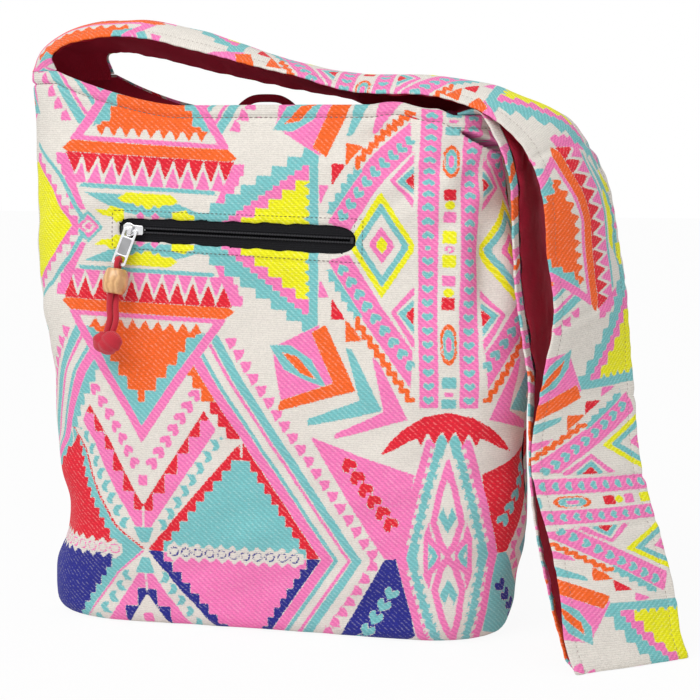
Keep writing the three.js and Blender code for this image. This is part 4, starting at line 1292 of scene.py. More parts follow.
def wall_cloth(name, side, folds, seed):
    """The outer cloth of one wall; the front has the zip slot."""
    grid, u, v, edge, place = wall_grid(side, FINE, 0.0, BOTTOM_RADIUS, np.zeros_like, 0.0, HEM_TUCK)
    normals = -side * grid_normals(grid)
    rows = BEND_ROWS + int((BODY_HEIGHT - BOTTOM_RADIUS) / FINE) - 1
    reach = np.minimum(v, edge - HEM_ROLL)
    out = slouch(u, reach, edge, place, folds, seed)
    if side < 0:
        fold, lips = lip_fold(u, reach)
        out = out + LIP_STAND * lips
        x, z = grid[..., 0], grid[..., 2]
        aside, apart = np.abs(u - BEAD_SWING[0]), np.abs(v - BEAD_SWING[1])
        under_bead = (1 - smoothstep(aside, *BEAD_ASIDE)) * (1 - smoothstep(apart, *BEAD_UP))
        out = out - under_bead * np.maximum(out, 0)
        from_slot = -polygon_distance(x, z, slot_outline())
        calm = smoothstep(from_slot, 4, 30)
        ridge, groove = (high * bell(from_slot - at, width) for high, at, width in (WELT_RIDGE, WELT_GROOVE))
        out = out * calm + ridge - groove - 0.9 * smoothstep(-from_slot, -2.5, 0.5)
    hem_normals = normals.copy()
    hem_normals[rows + 1:] = normals[rows]
    grid = grid + hem_normals * out[..., None]
    if side < 0:
        grid = grid - unit(hem_normals * (1, 1, 0)) * (LIP_DEPTH * fold)[..., None]
    grid[..., 2] = np.maximum(grid[..., 2], 0.0)
    flip_u = u if side < 0 else -u
    p, q = to_cell(flip_u, v)
    layers = cloth_layers(flip_u, v, weave(p, q))
    verts = grid.reshape(-1, 3).copy()
    faces = grid_faces(*grid.shape[:2])
    if side < 0:
        verts, faces, layers = cut_slot(verts, faces, layers)
    piece = add_object(name, verts, faces, JACQUARD, "woven_fabric", layers=layers, flip=side > 0)
    return piece, Surface(grid, side, rows, BEND_ROWS, BOTTOM_RADIUS)


# Points this near the slot's outline snap to it, its edge is turned in this far, and this margin holds it all
SNAP = 0.85
LIP = 1.5
SLOT_MARGIN = 5


def cut_slot(verts, faces, layers):
    """Opens the slot in the front and turns its edge in."""
    outline = np.array(slot_outline())
    x, z = verts[:, 0], verts[:, 2]
    inside = np.full(len(verts), -99.0)
    low, high = outline.min(0) - SLOT_MARGIN, outline.max(0) + SLOT_MARGIN
    around = (x > low[0]) & (x < high[0]) & (z > low[1]) & (z < high[1])
    near = np.nonzero(around & (verts[:, 1] < 0))[0]
    inside[near] = polygon_distance(x[near], z[near], outline)
    close = near[np.abs(inside[near]) < SNAP]
    ends = np.roll(outline, -1, axis=0)
    for i in close:
        point = verts[i, [0, 2]]
        span = ends - outline
        t = clip01(((point - outline) * span).sum(1) / (span ** 2).sum(1))
        spots_on = outline + span * t[:, None]
        best = np.argmin(((spots_on - point) ** 2).sum(1))
        verts[i, [0, 2]] = spots_on[best]
    on_edge = np.zeros(len(verts), bool)
    on_edge[close] = True
    within = inside >= SNAP
    middle = polygon_distance(verts[faces, 0].mean(1), verts[faces, 2].mean(1), outline)
    front = verts[faces, 1].mean(1) < 0
    keep = ~(within[faces].any(1) | (on_edge[faces].all(1) & (middle > 0) & front))
    faces = faces[keep]
    sides = np.vstack([faces[:, [k, (k + 1) % 4]] for k in range(4)])
    key = np.sort(sides, axis=1)
    _, index, count = np.unique(key, axis=0, return_index=True, return_counts=True)
    open_sides = sides[index[count == 1]]
    rim = open_sides[on_edge[open_sides].all(1)]
    ring = np.unique(rim)
    number = {int(old): len(verts) + k for k, old in enumerate(ring)}
    turned = verts[ring] + np.array([0, LIP, 0])
    verts = np.vstack([verts, turned])
    layers = {key: np.vstack([value, np.asarray(value)[ring]]) for key, value in layers.items()}
    lip = [(b, a, number[int(a)], number[int(b)]) for a, b in rim]
    return compact(verts, np.vstack([faces, np.array(lip)]), layers)


def base_cloth(name, z, inset, material, slot, tinted):
    """A flat base between the walls' lower edges."""
    place = np.linspace(0, 1, 120)
    level = np.zeros(120)
    front, u = wall(place, level, -1, inset)
    back, _ = wall(place, level, 1, inset)
    share = np.linspace(0, 1, 30)[:, None, None]
    grid = front[None] * (1 - share) + back[None] * share
    run, deep = np.broadcast_to(u, grid.shape[:2]), grid[..., 1]
    grid[..., 2] = z + 0.25 * ripples(run, deep, SEEDS["base"], 30, 80)
    tints = weave(*to_cell(run, -20 - deep)) if tinted else {}
    return add_sheet(name, grid, material, slot, cloth_layers(run, deep, tints), flip=tinted)


def lining_inset(z):
    """How far the lining hangs inside the wall."""
    hem = BODY_HEIGHT - RIGHT_DROP - FABRIC
    slack = LINING_SLACK * (1 - smoothstep(z, ZIP_HEIGHT + TAPE_WIDTH * 2, hem))
    return 2 * HEM_ROLL + 0.7 + slack


# Height of the lining's floor, and how far its top edge stays below the hem
LINING_FLOOR = FABRIC + CLEARANCE
LINING_TOP = -1.0


def wall_lining(name, side, seed):
    """The lining of one wall, wrinkled where it hangs slack."""
    grid, u, v, _, _ = wall_grid(side, COARSE, LINING_FLOOR, LINING_RADIUS, lining_inset, LINING_TOP, 0)
    normals = -side * grid_normals(grid)
    slack = 1 - smoothstep(v, ZIP_HEIGHT + TAPE_WIDTH * 2, BODY_HEIGHT - 12)
    loose = np.abs(2.2 * ripples(u, v * 0.35, seed, 26, 70) + 0.8 * ripples(u, v, seed + 1, 14, 40))
    taut = 0.9 + 0.4 * np.abs(ripples(u, v, seed + 2, 12, 30))
    shift = -loose * slack - taut * (1 - slack)
    grid = grid + normals * (shift * smoothstep(v, 4, 40))[..., None]
    if side < 0:
        behind_fold = (LIP_DEPTH + LIP_ROOM) * lip_fold(u, v, LIP_ROOM)[0]
        grid = grid - unit(normals * (1, 1, 0)) * behind_fold[..., None]
    return add_sheet(name, grid, LINING_CLOTH, "lining", cloth_layers(u, v), flip=side < 0)


# Shape of the strap

def strap_station(x, y, z, yaw, tip, bow):
    """Front hem, middle and back hem of the strap's width at a place."""
    bow = np.array(bow, float)
    chord = 1 - (8 / 3) * (bow @ bow)
    level = math.sqrt(max(chord * chord - tip * tip, 0))
    turn = math.radians(yaw)
    across = np.array([math.cos(turn) * level, math.sin(turn) * level, tip]) * STRAP_WIDTH / 2
    middle = np.array([x, y, z], float)
    return middle - across, middle + bow * STRAP_WIDTH, middle + across


def root_station(front, back, at_left):
    """The strap's root follows the mouth around a side seam."""
    def edge(distance, side):
        run = distance if at_left else SEAM_RUN[-1] - distance
        place = np.interp(run, SEAM_RUN, SEAM_PLACES)
        height = mouth(place, side)
        point = wall(np.array([place]), np.array([height]), side)[0][0]
        return np.array([point[0], point[1] - (CLEARANCE if side > 0 else 0), height + CLEARANCE])

    return edge(front, -1), edge(0, -1), edge(back, 1)


# Stations over the mouth: share of the half width, rise, yaw, tip and bow
STRAP_OVER = (
    (-0.835, 0.848, 77, 0.032, (-0.253, 0, 0.063)),
    (-0.76, 1, 84, -0.042, (-0.105, 0, 0.158)),
    (-0.556, 0.978, 90, -0.126, (0, 0, 0.2)),
    (-0.289, 0.739, 90, -0.137, (0, 0, 0.211)),
    (0.112, 0.37, 90, -0.137, (0, 0, 0.158)),
    (0.353, 0.152, 90, -0.053, (0, 0, 0.179)),
    (0.7, 0.109, 90, -0.021, (0, 0, 0.168)),
)

# Stations beside the bag: reach to the right and to the back, share of the height, yaw, tip and bow
STRAP_BESIDE = (
    (-0.198, -0.044, 0.995, 86, 0.105, (0.063, 0, 0.147)),
    (0.176, -0.055, 0.952, 75, 0.253, (0.105, 0, 0.095)),
    (0.429, -0.066, 0.855, 65, 0.168, (0.095, -0.032, 0.021)),
    (0.516, -0.077, 0.742, 61, 0.084, (0.063, -0.032, 0)),
    (0.582, -0.088, 0.634, 59, 0.042, (0.053, -0.032, 0)),
    (0.571, -0.143, 0.52, 51, 0.042, (0.032, -0.042, 0)),
    (0.582, -0.297, 0.352, 37, -0.042, (0.021, -0.032, 0)),
    (0.769, -0.451, 0.21, 35, -0.021, (0.021, -0.032, 0)),
    (0.868, -0.582, 0.126, 33, -0.053, (0.021, -0.032, 0)),
    (0.923, -0.659, 0.05, 32, -0.053, (0.011, -0.021, 0)),
    (1, -0.67, 0, 35, 0, (0, 0, 0)),
    (0.846, -0.396, 0, 52, 0, (0, 0, 0)),
    (0.659, -0.176, 0, 68, 0, (0, 0, 0)),
    (0.538, -0.077, 0.055, 72, 0, (-0.021, 0.011, 0)),
    (0.385, -0.011, 0.19, 73, 0, (-0.021, 0, 0)),
    (0.275, 0, 0.335, 76, 0, (-0.011, 0, 0)),
    (0.198, 0.011, 0.56, 80, 0, (0, 0, 0)),
    (0.11, 0.011, 0.73, 84, 0, (0.021, 0, 0)),
    (0, 0, 0.868, 85, 0.021, (0.053, 0, 0)),
    (-0.154, 0, 0.945, 87, 0.032, (0.126, 0, 0.032)),
    (-0.319, 0, 0.9875, 90, 0, (0.2, 0, 0.042)),
)


def strap_stations():
    """The strap's width at stations from its left root to its right one."""
    over = [strap_station(share * HALF_WIDTH, 0, BODY_HEIGHT + rise * STRAP_ARCH, *turn)
            for share, rise, *turn in STRAP_OVER]
    beside = [strap_station(HALF_WIDTH + out * STRAP_REACH, y * STRAP_REACH, share * BODY_HEIGHT, *turn)
              for out, y, share, *turn in STRAP_BESIDE]
    return [root_station(STRAP_ROOT_FRONT, STRAP_ROOT_BACK, True), *over, *beside,
            root_station(STRAP_WIDTH / 2, STRAP_WIDTH / 2, False)]


class Strap:
    """The strap's outer face, by run along it in millimetres and share across it."""

    def __init__(self):
        self.lines = [np.array(line) for line in zip(*strap_stations())]
        self.places = np.linspace(0, 1, 3000)
        self.run = run_along(curve_points(self.lines[1], self.places))
        self.length = self.run[-1]

    def face(self, run, across):
        """Grid of points at runs (rows) and shares across (columns)."""
        place = np.interp(run, self.run, self.places)
        front, middle, back = (curve_points(line, place)[:, None] for line in self.lines)
        w = np.atleast_2d(np.asarray(across, float))[..., None]
        points = front * (1 - w) * (1 - 2 * w) + middle * 4 * w * (1 - w) + back * w * (2 * w - 1)
        sag = STRAP_SAG * plateau(run, *STRAP_SAG_RUNS)[:, None]
        points[..., 2] = np.maximum(points[..., 2] - sag * smoothstep(w[..., 0], 0.4, 1), 0)
        wrap = STRAP_WRAP * plateau(run, *STRAP_WRAP_RUNS)[:, None]
        points[..., 0] -= wrap * (1 - smoothstep(w[..., 0], 0, 0.5))
        return points

    def outward(self, run, across):
        """Outward normals at the same places."""
        after, before = np.minimum(run + 0.5, self.length), np.maximum(run - 0.5, 0)
        ahead = self.face(after, across) - self.face(before, across)
        aside = self.face(run, across + 1e-3) - self.face(run, across - 1e-3)
        return unit(np.cross(ahead, aside))


STRAP = Strap()

# Runs along the strap, and the places in the repeat that the photograph shows there
STRAP_AXES = ((58, -2 * CELL), (517, 0), (718, CELL), (836, CELL + 152))

# Runs, and how far the repeat lies in from the back hem there
STRAP_SHIFTS = ((0, -6), (110, -12), (160, -20), (380, -22), (425, -26), (470, -12), (510, 5))


# Creases across the hanging strap: run, lean and depth
STRAP_CREASES = ((700, 0.06, 1.6), (741, -0.1, 0.8), (778, 0.3, 0.9), (640, 0.12, 0.8), (575, -0.25, 0.9),
                 (455, 0.2, 0.9))

# How far the strap's hems stand out, their stitched groove, and the small waves along their edges
STRAP_HEM_STAND, STRAP_GROOVE, STRAP_FRILL, FRILL_STEP = 0.35, 0.5, 0.2, 13

# Waves of the strap, its grid step along it, and the radius at which its hems turn
STRAP_WAVES = ((0.8, 60, 150), (0.25, 18, 45))
STRAP_STEP = 1.7
STRAP_ROLL = 1.0


def strap_relief(run, w):
    """How far the strap's cloth stands out: ripples, hem lines and small waves of the hems."""
    across = w * STRAP_WIDTH
    out = waves(run, across, SEEDS["strap"], STRAP_WAVES)
    from_hem = np.minimum(across, STRAP_WIDTH - across)
    from_groove = from_hem - STRAP_TURN
    out = out + STRAP_HEM_STAND * smoothstep(-from_groove, -1, 1) - STRAP_GROOVE * bell(from_groove, 1.1)
    frill = np.sin(run * 2 * math.pi / FRILL_STEP + np.sin(run / 29))
    out = out + STRAP_FRILL * frill * bell(from_hem, 8)
    for at, lean, depth in STRAP_CREASES:
        along = run - at - lean * (across - STRAP_WIDTH / 2)
        out = out + depth * (0.6 * bell(along - 6, 5) - bell(along, 2.6))
    return out * smoothstep(run, 0, 12) * smoothstep(STRAP.length - run, 0, 12)


def strap_cloth():
    """The strap's outer cloth with its hems turned in."""
    run = np.linspace(0, STRAP.length, int(STRAP.length / STRAP_STEP))
    roll, thin, turn = STRAP_ROLL, STRAP_ROLL / STRAP_WIDTH, STRAP_TURN / STRAP_WIDTH
    middle = np.linspace(thin, 1 - thin, int(STRAP_WIDTH / FINE))
    edge = [(0.3 * thin, 0.3 * roll), (0, roll), (0.3 * thin, 1.7 * roll), (thin, 2 * roll),
            (turn * 0.5, 2 * roll), (turn, 2 * roll)]
    across = np.array([w for w, _ in edge[::-1]] + list(middle) + [1 - w for w, _ in edge])
    depth = np.array([d for _, d in edge[::-1]] + [0] * len(middle) + [d for _, d in edge])
    points = STRAP.face(run, across)
    outward = STRAP.outward(run, across)
    relief = strap_relief(run[:, None], np.broadcast_to(across, points.shape[:2]))
    points = points + outward * (relief - depth)[..., None]
    points[..., 2] = np.maximum(points[..., 2], 0.1)
    cloth_w = across * STRAP_WIDTH
    past_ends = np.maximum(run - STRAP_AXES[-1][0], 0) - np.maximum(STRAP_AXES[0][0] - run, 0)
    p = np.interp(run, *zip(*STRAP_AXES)) + past_ends
    shift = np.interp(run, *zip(*STRAP_SHIFTS))
    p, q = np.broadcast_arrays(p[:, None], STRAP_WIDTH - cloth_w[None] + shift[:, None])
    tints = weave(p, np.abs(q), side_block=False)
    layers = cloth_layers(*np.broadcast_arrays(cloth_w[None], run[:, None]), tints)
    return add_sheet("strap_cloth", points, JACQUARD, "woven_fabric", layers, flip=True)


# The strap's lining: how far it stays in from the hems, how far its front is folded in on the last leg and
# over which runs that begins, how deep it lies, and how far it laps at the roots
LINING_HEM = 1.4
LINING_FOLD = STRAP_TURN - 0.6
LINING_FOLD_RUNS = (1010, 1120)
LINING_UNDER = 2.6
LAP = 5


def strap_lining():
    """The lining strip under the strap."""
    run = np.linspace(0, STRAP.length, int(STRAP.length / COARSE))
    front_hem = mix(LINING_HEM, LINING_FOLD, smoothstep(run, *LINING_FOLD_RUNS))[:, None]
    share = np.linspace(0, 1, int(STRAP_WIDTH / COARSE))
    across = mix(front_hem, STRAP_WIDTH - LINING_HEM, share) / STRAP_WIDTH
    grid_run, grid_w = np.broadcast_arrays(run[:, None], across)
    wrinkles = 1.1 * np.abs(ripples(grid_run, grid_w * STRAP_WIDTH, SEEDS["strap_lining"], 18, 60))
    outward = STRAP.outward(run, across)
    depth = strap_relief(grid_run, grid_w) - LINING_UNDER - wrinkles
    points = STRAP.face(run, across) + outward * depth[..., None]
    first, last = (points[k] - LINING_HEM * outward[k] - np.array([0, 0, LAP]) for k in (0, -1))
    points = np.concatenate([[first], points, [last]])
    grid_run = np.concatenate([grid_run[:1] - LAP, grid_run, grid_run[-1:] + LAP])
    grid_w = np.concatenate([grid_w[:1], grid_w, grid_w[-1:]])
    layers = cloth_layers(grid_w * STRAP_WIDTH, grid_run)
    return add_sheet("strap_lining_cloth", points, LINING_CLOTH, "lining", layers)


# Zip, from the cloth inwards

FRONT_FACE = -HALF_DEPTH * float(depth_share(ZIP_HEIGHT / BODY_HEIGHT))
TAPE_FRONT = FRONT_FACE + FABRIC + CLEARANCE
TAPE_BACK = TAPE_FRONT + TAPE_THICKNESS
COIL_CENTRE = TAPE_FRONT - CLEARANCE - COIL_RADIUS
COIL_FRONT = COIL_CENTRE - COIL_RADIUS
CHAIN_LEFT = ZIP_MIDDLE - ZIP_LENGTH / 2 + STOP_INSET
CHAIN_RIGHT = ZIP_MIDDLE + ZIP_LENGTH / 2 - STOP_INSET
PLATE_BACK = COIL_FRONT - CLEARANCE
PLATE_FRONT = PLATE_BACK - SLIDER_PLATE
SLIDER_START = CHAIN_LEFT + STOP_LENGTH + CLEARANCE + SLIDER_LENGTH / 2
HINGE_FRONT = PLATE_FRONT - BRIDGE_ROOM / 2
TILT = Matrix.Rotation(math.radians(ZIP_TILT), 4, "Y")
ON_ZIP = Matrix.Translation((ZIP_MIDDLE, 0, ZIP_HEIGHT)) @ TILT
COIL_PITCH = 2.1
COIL_SIDES = 10
FACING_HALF = 5.8
FACING_BACK = TAPE_BACK + 2.6


def zip_tape(which, up):
    """A woven tape with lengthwise ribs and a thin cord along its edge."""
    wide = ZIP_LENGTH / 2 + TAPE_END
    along = np.linspace(-wide, wide, 150)
    across = np.linspace(COIL_GAP / 2, COIL_GAP / 2 + TAPE_WIDTH, 40)
    rib = 0.12 * np.sin(across * 2 * math.pi / 1.6) + 0.1 * bell(across - 3.6, 0.6)
    grid_x, grid_z = np.meshgrid(along, across * up)
    front, back = xyz(grid_x, (TAPE_FRONT - rib)[:, None], grid_z), xyz(grid_x, TAPE_BACK, grid_z)
    ring = np.concatenate([front, back[::-1]])
    rows, columns = ring.shape[:2]
    faces = list(grid_faces(rows, columns))
    faces += [((rows - 1) * columns + i, (rows - 1) * columns + i + 1, i + 1, i) for i in range(columns - 1)]
    layers = cloth_layers(ring[..., 0], ring[..., 2])
    return add_object(f"tape_{which}", placed(ring, ON_ZIP), faces, TAPE_CLOTH, "zip_tape", layers=layers,
                      flip=up < 0)


def zip_coil(which, up):
    """A nylon coil: a ridge for each turn."""
    half = (CHAIN_RIGHT - CHAIN_LEFT) / 2 - STOP_LENGTH - CLEARANCE
    along = np.linspace(-half, half, int(2 * half / COIL_PITCH * COIL_SIDES))
    turn, phase = turns(COIL_SIDES), 0 if up > 0 else 1
    radius = COIL_RADIUS * (0.45 + 0.55 * np.abs(np.sin(along * math.pi / COIL_PITCH + phase)))[:, None]
    y = COIL_CENTRE + radius * np.cos(turn)
    z = up * (COIL_GAP / 2 + COIL_RADIUS) + radius * np.sin(turn)
    part = moved(capped(xyz(along[:, None], y, z)), ON_ZIP)
    return add_object(f"coil_{which}", *part, NYLON, "zip_coil", flip=True)


def zip_facing():
    """A dark strip behind the chain, in front of the pocket's rear cloth."""
    grid_x, grid_z = np.meshgrid(np.linspace(-ZIP_LENGTH / 2, ZIP_LENGTH / 2, 100),
                                 np.linspace(-FACING_HALF, FACING_HALF, 9))
    grid = placed(xyz(grid_x, FACING_BACK, grid_z), ON_ZIP)
    return add_sheet("zip_facing", grid, TAPE_CLOTH, "zip_tape", cloth_layers(grid_x, grid_z))


def plate_at(y, outlines, thickness, bevel):
    """A plate whose middle lies at a depth."""
    return moved(plate_part(outlines, thickness, bevel), Matrix.Translation((0, y, 0)))


def zip_stop(which, x):
    """A pinched stop at the end of the chain."""
    tall = COIL_GAP / 2 + 2 * COIL_RADIUS
    depth = TAPE_FRONT - CLEARANCE - COIL_FRONT
    left, right = x - ZIP_MIDDLE, x - ZIP_MIDDLE + STOP_LENGTH
    part = plate_at(COIL_FRONT + depth / 2, [rounded_box(left, right, -tall, tall, 0.7)], depth, 0.35)
    return add_object(f"stop_{which}", *moved(part, ON_ZIP), NYLON, "zip_coil")


def pocket_bag():
    """The pocket's cloth: down behind the front, folded, and up again."""
    near = TAPE_BACK + CLEARANCE - FRONT_FACE + POCKET_LAYER / 2
    far = near + POCKET_LAYER + POCKET_ROOM
    top, bottom = ZIP_HEIGHT + COIL_GAP / 2 + TAPE_WIDTH, ZIP_HEIGHT - POCKET_DEPTH + 1
    front_top = ZIP_HEIGHT - SLIDER_HEIGHT / 2 - SLIDER_PLATE
    rows = [(z, near) for z in np.linspace(front_top, bottom + 2, 40)]
    rows += [(bottom, mix(near, far, 0.25)), (bottom, mix(near, far, 0.75))]
    rows += [(z, far) for z in np.linspace(bottom + 2, top, 46)]
    z, inset = np.array(rows).T
    wide = ZIP_LENGTH / 2 + TAPE_END - 1
    x = np.linspace(-wide, wide, 60)
    y = -(HALF_DEPTH * depth_share(z / BODY_HEIGHT)) + inset
    grid_x, grid_run = np.meshgrid(x, run_along(np.stack([z, y], -1)))
    ripple = 0.35 * ripples(grid_x, grid_run, SEEDS["pocket"], 25, 70)
    grid = placed(xyz(grid_x, y[:, None] + ripple, (z - ZIP_HEIGHT)[:, None]), ON_ZIP)
    return add_sheet("pocket_cloth", grid, LINING_CLOTH, "lining", cloth_layers(grid_x, grid_run))


# Slider and pull

SLIDER_AT = ON_ZIP @ Matrix.Translation((SLIDER_START - ZIP_MIDDLE, 0, 0))


def slider_outline():
    """Outline of the slider's plates: a wide nose and a narrower tail."""
    half, length = SLIDER_HEIGHT / 2, SLIDER_LENGTH / 2
    tail = length + SLIDER_TAIL
    upper = [(tail, 0.5 * half), (tail - 0.8, 0.72 * half), (0.3 * length, 0.78 * half),
             (-0.15 * length, 1.1 * half), (-0.6 * length, 1.1 * half), (-length, 0.7 * half)]
    lower = [(x, -z) for x, z in upper[::-1]]
    return upper + lower


def slider_piece():
    """Two plates, the post between them, and a bridge for the tab."""
    rear = TAPE_BACK + CLEARANCE
    front, back = (plate_at(y + SLIDER_PLATE / 2, [slider_outline()], SLIDER_PLATE, 0.4)
                   for y in (PLATE_FRONT, rear))
    reach = rear - PLATE_BACK + SLIDER_PLATE
    pillar = rounded_box(-POST_LENGTH / 2, POST_LENGTH / 2, -POST_WIDTH / 2, POST_WIDTH / 2, 0.4)
    post = plate_at(PLATE_BACK - SLIDER_PLATE / 2 + reach / 2, [pillar], reach, 0.05)
    half, sunk, room, bar = BRIDGE_SPAN / 2, SLIDER_PLATE / 2, BRIDGE_ROOM, BRIDGE_BAR
    rise = room + bar
    arch = [(-half, -sunk), (-half, room * 0.6), (-half * 0.86, rise * 0.86), (-half * 0.55, rise),
            (half * 0.55, rise), (half * 0.86, rise * 0.86), (half, room * 0.6), (half, -sunk),
            (half - bar, -sunk), (half - bar, room * 0.7), (half - 1.6 * bar, room),
            (-half + 1.6 * bar, room), (-half + bar, room * 0.7), (-half + bar, -sunk)]
    points, faces = plate_part([arch], BRIDGE_WIDTH, 0.3)
    points = np.stack([points[:, 1], -points[:, 2], points[:, 0]], -1)
    lean = Matrix.Rotation(math.radians(PULL_LEAN - ZIP_TILT), 4, "Y")
    bridge = moved((points, faces), Matrix.Translation((0, PLATE_FRONT, 0)) @ lean)
    part = moved(join([front, back, post, bridge]), SLIDER_AT)
    return add_object("slider_body", *part, METAL, "metal", body="slider")


def hanging(at, lean):
    """Frame of a thing that hangs from a point: it goes down its -Z."""
    sideways = Matrix.Rotation(math.radians(lean), 4, "Y")
    return Matrix.Translation(at) @ sideways @ Matrix.Rotation(-math.radians(PULL_TILT), 4, "X")


SLIDER_PLACE = SLIDER_AT @ Vector((0, HINGE_FRONT, 0))
PULL_FRAME = hanging(SLIDER_PLACE, PULL_LEAN)
FOOT_DROP = TAB_LENGTH - TAB_BAR / 2 - TAB_FOOT / 2
TASSEL_FRAME = hanging(PULL_FRAME @ Vector((0, 0, -FOOT_DROP)), TASSEL_LEAN)
FOOT_TOP = TAB_FOOT / 2
BEAD_TOP = -TAB_FOOT / 2 - BEAD_DROP
BEAD_BOTTOM = BEAD_TOP - BEAD_LENGTH
KNOT_TOP = BEAD_BOTTOM - CORD_DROP


def tab_piece():
    """The pull tab: a frame with rails, a sunk panel, an eye for the bridge and one for the cord."""
    half, top, foot = TAB_WIDTH / 2, TAB_BAR / 2, TAB_BAR / 2 - TAB_LENGTH
    inner = half - TAB_BAR
    sill, lintel = TAB_WINDOW
    eye = rounded_box(-inner, inner, TAB_EYE_FOOT, -TAB_BAR / 2, 1.2)
    window = rounded_box(-inner, inner, sill, lintel, 0.8)
    hole = rounded_box(-inner, inner, foot + TAB_FOOT, TAB_HOLE_TOP, 1.2)
    rails = plate_part([rounded_box(-half, half, foot, top, 2.0), eye, window, hole], TAB_THICKNESS, 0.35)
    sunk = rounded_box(-inner - TAB_LAP, inner + TAB_LAP, sill - TAB_LAP, lintel + TAB_LAP, 0.6)
    panel = plate_part([sunk], TAB_PANEL, 0.1)
    # The sunk panel takes the darker copy of the nickel, as painted shade of the recess between the rails
    add_object("tab_panel", *moved(panel, PULL_FRAME), PANEL_NICKEL_PAINTED_SHADE, "metal", body="pull")
    return add_object("tab_body", *moved(rails, PULL_FRAME), METAL, "metal", body="pull")


def cord_strand(side):
    """Half of the doubled cord: over the tab's foot, down through the bead, and into the knot."""
    apart = CORD_DIAMETER / 2 + CLEARANCE
    loop = TAB_THICKNESS / 2 + 2 * CLEARANCE + CORD_DIAMETER / 2
    over = FOOT_TOP + 3 * CLEARANCE + CORD_DIAMETER / 2
    inside = CORD_DIAMETER * 0.3
    return [
        (0, 0, over),
        (0, side * loop * 0.72, FOOT_TOP + (over - FOOT_TOP) * 0.75),
        (0, side * loop, FOOT_TOP - TAB_FOOT / 3),
        (0, side * loop, FOOT_TOP - TAB_FOOT),
        (0, side * apart, BEAD_TOP - inside),
        (0, side * apart, (BEAD_TOP + BEAD_BOTTOM) / 2),
        (side * apart * 0.6, side * apart * 0.85, BEAD_BOTTOM + inside),
        (KNOT_SHIFT - CORD_SWAY + side * apart * 0.95, side * apart * 0.3, KNOT_TOP + CORD_DROP * 0.65),
        (KNOT_SHIFT + CORD_SWAY + side * apart, side * apart * 0.1, KNOT_TOP + CORD_DROP * 0.3),
        (KNOT_SHIFT + side * apart, 0, KNOT_TOP - 2),
    ]


def cord_piece(name, side):
    """One strand of the pull's cord as a curve, and its real length."""
    route = placed(curve_points(cord_strand(side), np.linspace(0, 1, 36)), TASSEL_FRAME)
    line = bpy.data.curves.new(name, "CURVE")
    line.dimensions = "3D"
    line.bevel_depth = CORD_FULL / 2 * MM
    line.bevel_resolution = 4
    line.use_fill_caps = True
    spline = line.splines.new("POLY")
    spline.points.add(len(route) - 1)
    thin = CORD_DIAMETER / CORD_FULL
    swell = mix(thin, 1, smoothstep(np.linspace(0, 1, len(route)), 0.5, 0.64))
    for point, place, share in zip(spline.points, route * MM, swell):
        point.co = (*place, 1)
        point.radius = float(share)
    piece = add_piece(name, line, CORD_YARN, "tassel")
    return piece, float(run_along(route)[-1]) * MM, tuple(float(c) for c in route[0] * MM)


def bead_piece():
    """A turned wooden bead, slightly faceted, with a bore."""
    girth, bore = BEAD_DIAMETER / 2, BEAD_BORE / 2
    up = np.linspace(0, 1, 17)
    barrel = girth * (0.70 + 0.30 * np.sin(math.pi * np.clip(up * 0.98 + 0.01, 0, 1)) ** 0.62)
    profile = [(bore, 0.06), (bore + 0.6, 0.012), (girth * 0.6, 0.0)] + list(zip(barrel, up * 0.96 + 0.02))
    profile += [(girth * 0.6, 1.0), (bore + 0.6, 0.988), (bore, 0.94)]
    sides, facet = 48, math.pi / 9
    turn = turns(sides)
    flat = np.cos(facet) / np.cos((turn + facet) % (2 * facet) - facet)
    rows = []
    for radius, height in profile:
        share = 0.55 * smoothstep(radius, bore + 1, girth)
        r = radius * mix(1.0, flat, share)
        rows.append(xyz(r * np.cos(turn), r * np.sin(turn), BEAD_BOTTOM + height * BEAD_LENGTH))
    faces = [tuple(face) for face in grid_faces(len(rows), sides, loop=True)]
    last = (len(rows) - 1) * sides
    faces += [(last + i, last + (i + 1) % sides, (i + 1) % sides, i) for i in range(sides)]
    return add_object("bead", placed(np.stack(rows), TASSEL_FRAME), faces, WOOD, "wood", body="tassel")


# Lobes of the knot: middle and half sizes
KNOT_LOBES = (((3.4, -2.6, 0.6), (8.0, 7.6, 8.4)), ((-4.6, 1.2, -0.2), (7.4, 8.0, 7.8)),
              ((0.4, 0.4, -3.6), (7.0, 6.6, 5.8)), ((0.8, -4.6, -2.2), (6.4, 4.6, 5.2)))


def knot_piece():
    """The knot at the end of the cord: a flat strand folded over itself in lobes."""
    centre = np.array([KNOT_SHIFT, 0, KNOT_TOP - CLEARANCE - KNOT_DIAMETER * 0.4])
    rows, columns = 48, 72
    tall = np.linspace(0.02, math.pi - 0.02, rows)[:, None]
    turn = turns(columns)
    way = xyz(np.sin(tall) * np.cos(turn), np.sin(tall) * np.sin(turn), np.cos(tall))
    radius = np.zeros((rows, columns))
    for place, size in KNOT_LOBES:
        size, place = np.array(size), np.array(place)
        a = ((way / size) ** 2).sum(-1)
        b = ((way * place) / size ** 2).sum(-1)
        c = ((place / size) ** 2).sum() - 1
        root = b * b - a * c
        radius = np.maximum(radius, np.where(root > 0, (b + np.sqrt(np.maximum(root, 0))) / a, 0))
    crease = way[..., 0] * 5 + way[..., 2] * 7
    radius = radius + 0.35 * np.sin(crease * 1.3) * np.abs(np.sin(tall)) - 0.5 * bell(crease, 0.9)
    part = moved(capped(centre + way * radius[..., None]), TASSEL_FRAME)
    return add_object("knot", *part, CORD_YARN, "cord", body="tassel", flip=True)


